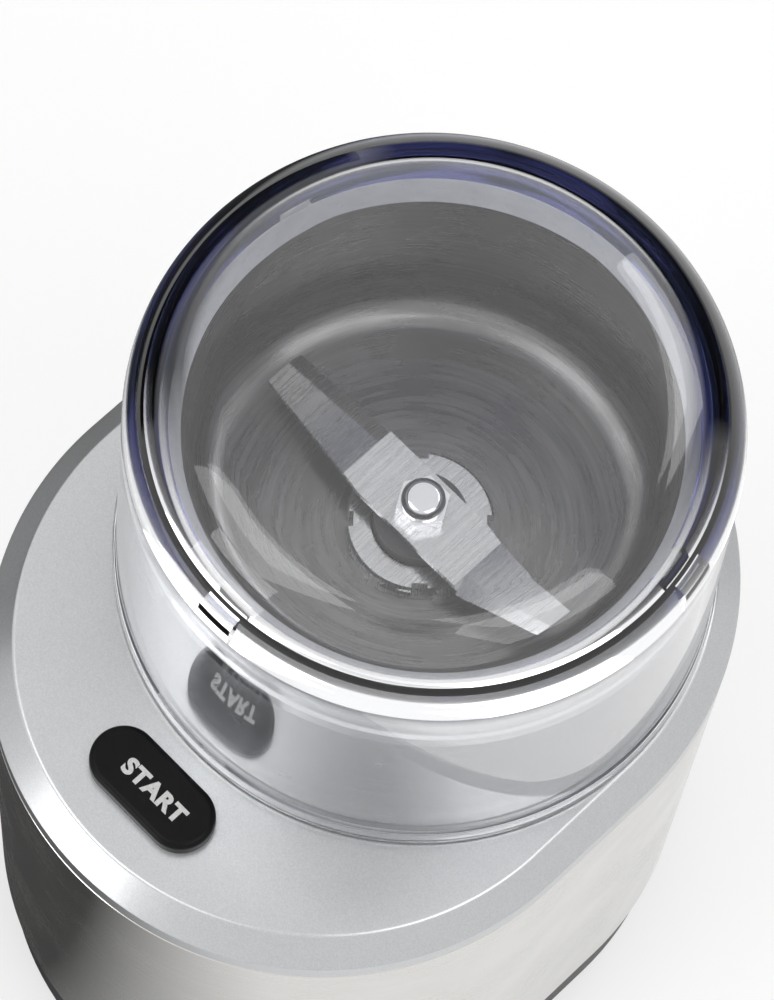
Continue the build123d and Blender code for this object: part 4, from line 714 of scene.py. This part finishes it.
def make_button(materials):
    """Start button: pill-shaped cap with a soft edge, its flange and its stem."""
    top, low = button_high.z, button_low.z
    flange_top = deck_top - deck_skin - seat_gap
    flange_low = flange_top - flange_thickness
    flange = button_end_radius + button_flange
    cap_end = button_end_radius - button_edge
    bm = outline([
        (cap_end, top), *arc((cap_end, top - button_edge), button_edge, 90, 0, 10)[1:],
        (button_end_radius, flange_top), (flange, flange_top), (flange, flange_low),
        (flange_hole, flange_low),
    ], closed=False)
    sweep_racetrack(bm, button_stretch / 2)
    crown = bmesh.ops.extrude_edge_only(bm, edges=loop_at(bm, top))["geom"]
    bmesh.ops.scale(bm, verts=only_verts(crown), vec=(0.5, 0.5, 1.0))
    for height in (top, flange_low):
        bmesh.ops.holes_fill(bm, edges=loop_at(bm, height), sides=0)
    quarter_turn(bm)
    stem = outline([
        (0, low), (stem_radius - stem_edge, low), (stem_radius, low + stem_edge),
        (stem_radius, flange_low),
    ], closed=False)
    turn(stem, STEM_STEPS)
    join(bm, stem)
    bmesh.ops.translate(bm, verts=bm.verts[:], vec=(0, button_y, 0))
    finish_piece(
        "button_cap", bm, materials["black_button"], "button", "start_button", sharp=40
    )


def make_lettering(materials):
    """The word START, printed on the button."""
    curve = bpy.data.curves.new("start_word", "FONT")
    curve.body = "START"
    curve.align_x = curve.align_y = "CENTER"
    curve.size = word_size
    curve.space_character = 1.1
    curve.offset = 0.24 * MM
    curve.extrude = 0.02 * MM
    curve.resolution_u = 6
    word = bpy.data.objects.new("start_word", curve)
    bpy.context.scene.collection.objects.link(word)
    bpy.context.view_layer.update()
    solid = word.evaluated_get(bpy.context.evaluated_depsgraph_get())
    mesh = bpy.data.meshes.new_from_object(solid)
    bpy.data.objects.remove(word)
    low = Vector([min(v.co[i] for v in mesh.vertices) for i in range(3)])
    high = Vector([max(v.co[i] for v in mesh.vertices) for i in range(3)])
    fit = Matrix.Diagonal((word_length / (high.x - low.x), word_height / (high.y - low.y), 1.0, 1.0))
    spot = (word_shift[0], button_y + word_shift[1], button_high.z + print_lift)
    mesh.transform(Matrix.Translation(spot) @ fit @ Matrix.Translation(-(low + high) / 2))
    mesh.name = "start_word"
    mesh.materials.clear()
    mesh.materials.append(materials["print_white"])
    piece = bpy.data.objects.new("start_word", mesh)
    bpy.context.scene.collection.objects.link(piece)
    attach(piece, "button")


# --- Bowl pieces ---
def make_bowl_cup(materials):
    """Drawn steel cup with a rolled edge and a hole for the hub."""
    inner = cup_radius - sheet
    bend = cup_corner + sheet
    corner = (cup_radius - bend, cup_bottom + bend)
    points = [(cup_hole, cup_bottom)]
    points += arc(corner, bend, -90, 0, 20)
    points += [(cup_radius, cup_top), (inner, cup_top)]
    points += arc(corner, cup_corner, 0, -90, 20)
    points += [(cup_hole, cup_bottom + sheet)]
    bm = outline(points)
    turn(bm)
    on_bowl_axis(bm)
    finish_piece("cup", bm, materials["cup_steel"], "bowl", "bowl_cup")


def make_bowl_rim(materials):
    """Pale lip of the bowl, flared inside, with three keys on top."""
    inner = cup_radius + fixed_gap
    seat = cup_top + fixed_gap
    bore = cup_radius - sheet
    flare = bore + lip_flare
    bm = outline([
        (inner, rim_bottom), (inner, seat), (bore, seat), (bore + 0.35 * MM, seat + 1.1 * MM),
        (flare - 0.4 * MM, rim_top - 1.2 * MM), (flare + 0.05 * MM, rim_top - 0.25 * MM),
        (flare + 0.35 * MM, rim_top), (rim_radius - lip_edge, rim_top),
        (rim_radius, rim_top - lip_edge), (rim_radius, rim_bottom),
    ])
    turn(bm)
    for angle in lip_key_angles:
        join(bm, lip_key(angle))
    on_bowl_axis(bm)
    finish_piece("rim", bm, materials["grey_plastic"], "bowl", "bowl_rim")


def lip_key(angle):
    """One of the blocks that hold the lid against turning."""
    reach = rim_radius - lip_key_inset
    root = rim_top - lip_key_root
    spot = Vector((reach * sin(angle), -reach * cos(angle), (root + key_top) / 2))
    key = bmesh.new()
    add_block(key, spot, (lip_key_width, lip_key_depth, key_top - root), angle)
    bmesh.ops.bevel(
        key, geom=key.edges[:] + key.verts[:], offset=lip_key_edge, offset_type="OFFSET",
        affect="EDGES", segments=3, profile=0.5, material=-1,
    )
    return key


def make_rim_band(materials):
    """Polished band with a rounded bead along its lower edge."""
    inner = rim_radius + fixed_gap / 2
    outer = bowl_radius - fixed_gap
    proud = band_radius - band_round
    bead_top = band_bottom + band_bead
    bm = outline([
        (inner, band_bottom), (proud, band_bottom),
        *arc((proud, band_bottom + band_round), band_round, -90, 0, 6)[1:],
        *arc((proud, bead_top - band_round), band_round, 0, 70, 6),
        (outer, bead_top + band_round), (outer, band_top - band_edge),
        (outer - band_edge, band_top), (inner, band_top),
    ])
    turn(bm)
    on_bowl_axis(bm)
    finish_piece("bowl_band", bm, materials["polished"], "bowl", "rim_band")


def make_bowl_sleeve(materials):
    """Steel sleeve round the outside of the bowl."""
    inner = bowl_radius - bowl_sheet
    face = bowl_radius - bowl_edge
    low, high = bowl_sleeve_bottom, bowl_sleeve_top
    bm = outline([
        (inner, low), (face, low), (bowl_radius, low + bowl_edge),
        (bowl_radius, high - bowl_edge), (face, high), (inner, high),
    ])
    turn(bm)
    on_bowl_axis(bm)
    finish_piece("bowl_wall", bm, materials["bowl_steel"], "bowl", "bowl_sleeve")


# --- Lid ---
def lid_profile():
    """Outline of the lid, from the middle of its top down the outside and back up the inside."""
    centre = lid_shoulder_reach - lid_shoulder
    hollow = lid_ring_bore - centre
    ceiling = lid_top - lid_skin
    bead_top = lid_foot + lid_bead
    skirt = bowl_radius + lid_skirt_gap
    foot_inside = lid_radius - lid_foot_wall
    edge = lid_foot_edge
    return outline([
        (0, lid_top),
        *arc((centre, lid_top - lid_shoulder), lid_shoulder, 90, 0, 40),
        (lid_radius - lid_bead_proud, bead_top + lid_bead_proud), (lid_radius - 0.1 * MM, bead_top),
        (lid_radius, bead_top - 0.3 * MM), (lid_radius, lid_foot + edge), (lid_radius - edge, lid_foot),
        (foot_inside + edge, lid_foot), (foot_inside, lid_foot + edge),
        (skirt + ring_tint_and_shade_fall * lid_skirt_lean, ring_seat - ring_tint_and_shade_fall),
        (skirt + ring_tint_and_shade_hold * lid_skirt_lean, ring_seat - ring_tint_and_shade_hold), (skirt, ring_seat),
        (notch_reach, ring_seat), (lid_ring_bore, ring_seat), (lid_ring_bore, notch_top),
        *arc((centre, ceiling - hollow), hollow, 0, 90, 32),
        (0, ceiling),
    ], closed=False)


def mark_tint_and_shade(bm, tint_and_shade):
    """Marks the profile where the lid's colour is painted, its tint with painted shade: at the ring, the
    shoulder beside it and the foot.
    """
    reach = bowl_radius + 0.6 * MM
    ceiling = lid_top - lid_skin + 0.01 * MM
    for v in bm.verts:
        deep = v.co.x < reach and v.co.z < ceiling
        v[tint_and_shade] = fade(ring_seat - v.co.z, ring_tint_and_shade_fall, ring_tint_and_shade_hold) if deep else 0.0
        # The foot's edge gets part of the tint and painted shade, as a painted violet line.
        if abs(v.co.z - lid_foot) < TOUCH:
            v[tint_and_shade] = foot_tint_and_shade


def fade_shoulder_tint_and_shade(bm, tint_and_shade):
    """Ends the shoulder's tint and painted shade below the flat top, and fades them out towards the front,
    so that the painted shade lies at the back and the sides.
    """
    top = rim_top + tint_and_shade_height
    for v in bm.verts:
        if v.co.z > notch_top and v[tint_and_shade]:
            upwards = fade(v.co.z, top, top - tint_and_shade_fade)
            # Painted shade: strong at the back, none at the front.
            v[tint_and_shade] = upwards * fade(0.8 * v.co.x - v.co.y, painted_shade_side, 0.0)


def make_lid(materials):
    """Clear lid: flat top, round shoulder, heavy ring over the bowl's edge, deep skirt and bead."""
    bm = lid_profile()
    # Layer for the ring's tint and its painted shade.
    tint_and_shade = bm.verts.layers.float.new("tint_and_shade")
    mark_tint_and_shade(bm, tint_and_shade)
    turn(bm, LID_STEPS)
    fade_shoulder_tint_and_shade(bm, tint_and_shade)
    cut_notches(bm)
    on_bowl_axis(bm)
    finish_piece("lid", bm, materials["clear_lid"], "lid", "lid_shell", sharp=20)


def cut_notches(bm):
    """Opens the ring's underside and bore over each key of the bowl's lip."""
    half = (lip_key_width / 2 + hand_fit) / notch_reach

    def in_notch(face):
        middle = face.calc_center_median()
        distance = middle.xy.length
        turned = atan2(middle.x, -middle.y)
        near = any(abs(turned - angle) < half for angle in lip_key_angles)
        under = abs(middle.z - ring_seat) < TOUCH and distance < notch_reach
        bore = ring_seat < middle.z < notch_top and abs(distance - lid_ring_bore) < 0.2 * MM
        return near and (under or bore)

    def on_outer_wall(edge):
        return all(abs(v.co.xy.length - notch_reach) < SLIP for v in edge.verts)

    bmesh.ops.delete(bm, geom=[f for f in bm.faces if in_notch(f)], context="FACES")
    wall = bmesh.ops.extrude_edge_only(bm, edges=loop_at(bm, ring_seat, on_outer_wall))["geom"]
    bmesh.ops.translate(bm, verts=only_verts(wall), vec=(0, 0, lid_notch_depth))
    for angle in lip_key_angles:
        def round_axis(edge, angle=angle):
            ends = [v.co.xy.length for v in edge.verts]
            middle = (edge.verts[0].co + edge.verts[1].co) / 2
            near = abs(atan2(middle.x, -middle.y) - angle) < half
            return near and abs(ends[0] - ends[1]) < SLIP
        bmesh.ops.bridge_loops(bm, edges=loop_at(bm, notch_top, round_axis))
    bmesh.ops.holes_fill(bm, edges=[e for e in bm.edges if e.is_boundary], sides=0)


# --- Studio ---
LAMP_AIM = Vector((0.0, 0.0, 0.14))


def make_floor():
    """A pale floor that shows white where no shadow lies."""
    material, tree, shader = new_material(
        "floor_paper", (0.5, 0.5, 0.5), roughness=0.9, Specular_IOR_Level=0.0
    )
    glow = add_node(
        tree, "ShaderNodeEmission", Strength=combine(tree, "MULTIPLY", seen_rays(tree), 0.55)
    )
    both = add_node(
        tree, "ShaderNodeAddShader", i0=shader.outputs["BSDF"], i1=glow.outputs["Emission"]
    )
    tree.links.new(both.outputs["Shader"], tree.nodes["Material Output"].inputs["Surface"])
    bm = bmesh.new()
    bmesh.ops.create_grid(bm, x_segments=1, y_segments=1, size=6.0)
    add_object("floor", bm, material)


def make_world():
    """Soft even light, with a white background for camera, glossy and transmitted rays."""
    world = bpy.data.worlds.new("studio")
    bpy.context.scene.world = world
    world.use_nodes = True
    tree = world.node_tree
    tree.nodes.clear()
    soft = add_node(tree, "ShaderNodeBackground", Color=(1, 1, 1, 1), Strength=0.5)
    white = add_node(tree, "ShaderNodeBackground", Color=(1, 1, 1, 1), Strength=1.0)
    mix = add_node(
        tree, "ShaderNodeMixShader", i0=seen_rays(tree), i1=soft.outputs["Background"],
        i2=white.outputs["Background"],
    )
    output = add_node(tree, "ShaderNodeOutputWorld", Surface=mix.outputs["Shader"])
    output.is_active_output = True


def add_lamp(name, place, size, power):
    """A square soft box that points at the grinder."""
    light = bpy.data.lights.new(name, "AREA")
    light.shape = "SQUARE"
    light.size = size
    light.energy = power
    lamp = bpy.data.objects.new(name, light)
    lamp.location = place
    lamp.rotation_mode = "QUATERNION"
    lamp.rotation_quaternion = (Vector(place) - LAMP_AIM).to_track_quat("Z", "Y")
    bpy.context.scene.collection.objects.link(lamp)


def add_card(name, place, facing, width, height, shade, soft):
    """A dark card with soft borders that only reflections see, as stands beside metal in a studio."""
    turned = Vector(facing).to_track_quat("Z", "Y").to_matrix().to_4x4()
    bm = bmesh.new()
    bmesh.ops.create_grid(bm, x_segments=3, y_segments=3, size=1.0)
    veil = bm.verts.layers.float.new("veil")
    for v in bm.verts:
        v[veil] = 1.0 if max(abs(v.co.x), abs(v.co.y)) < 0.5 else 0.0
        for axis, reach in ((0, width / 2), (1, height / 2)):
            side = v.co[axis]
            v.co[axis] = (reach if abs(side) > 0.5 else reach - soft) * (1 if side > 0 else -1)
    bmesh.ops.transform(bm, verts=bm.verts[:], matrix=Matrix.Translation(place) @ turned)
    material, tree, shader = new_material(
        name, (0.0, 0.0, 0.0), roughness=1.0, Specular_IOR_Level=0.0, Emission_Strength=1.0
    )
    cover = add_node(tree, "ShaderNodeAttribute", {"attribute_name": "veil"}).outputs["Fac"]
    colour = tint(tree, cover, (1.0, 1.0, 1.0), (shade, shade, shade))
    tree.links.new(colour, shader.inputs["Emission Color"])
    card = add_object(name, bm, material)
    card.visible_camera = card.visible_diffuse = False
    card.visible_shadow = card.visible_transmission = False


def make_studio():
    """Floor, background, lamps and cards."""
    make_floor()
    make_world()
    add_lamp("key_lamp", (-0.3, -0.45, 1.2), size=0.6, power=2.6)
    add_lamp("fill_lamp", (0.62, 0.0, 1.15), size=0.6, power=2.6)
    add_lamp("back_lamp", (0.1, 1.0, 1.1), size=0.7, power=4.0)
    add_lamp("front_lamp", (-0.3, -1.1, 0.34), size=0.5, power=2.5)
    add_card(
        "floor_card", (-0.24, -0.12, 0.002), facing=(0, 0, 1),
        width=0.6, height=0.7, shade=0.06, soft=0.08,
    )
    add_card(
        "left_card", (-0.7, 0.05, 0.14), facing=(1, 0, 0),
        width=1.0, height=0.4, shade=0.04, soft=0.06,
    )
    add_card(
        "back_card", (-0.12, 0.62, 0.28), facing=(0.19, -0.98, 0.0),
        width=1.15, height=0.6, shade=0.03, soft=0.1,
    )
    add_card(
        "camera_card", (0.24, -0.27, 1.0), facing=(-0.228, 0.287, -0.93),
        width=0.26, height=0.34, shade=0.05, soft=0.08,
    )


def make_camera():
    """The camera looks down on the bowl from the front right."""
    azimuth, elevation, roll = radians(38.45), radians(68.5), radians(7.74)
    distance = 0.895
    target = Vector((-0.0108, 0.0154, 0.1395))
    back = Vector((cos(elevation) * sin(azimuth), -cos(elevation) * cos(azimuth), sin(elevation)))
    data = bpy.data.cameras.new("camera")
    data.lens = 169.2
    data.sensor_width = 36.0
    data.clip_start = 0.01
    camera = bpy.data.objects.new("camera", data)
    camera.rotation_mode = "QUATERNION"
    camera.rotation_quaternion = back.to_track_quat("Z", "Y") @ Quaternion((0, 0, 1), roll)
    camera.location = target + distance * back
    bpy.context.scene.collection.objects.link(camera)
    bpy.context.scene.camera = camera


make_camera()
make_studio()
bpy.context.scene.view_settings.view_transform = "Standard"
finishes = make_materials()
finish_cad_nodes(finishes)
make_deck(finishes)
make_body_sleeve(finishes)
make_button(finishes)
make_lettering(finishes)
make_bowl_cup(finishes)
make_bowl_rim(finishes)
make_rim_band(finishes)
make_bowl_sleeve(finishes)
make_lid(finishes)
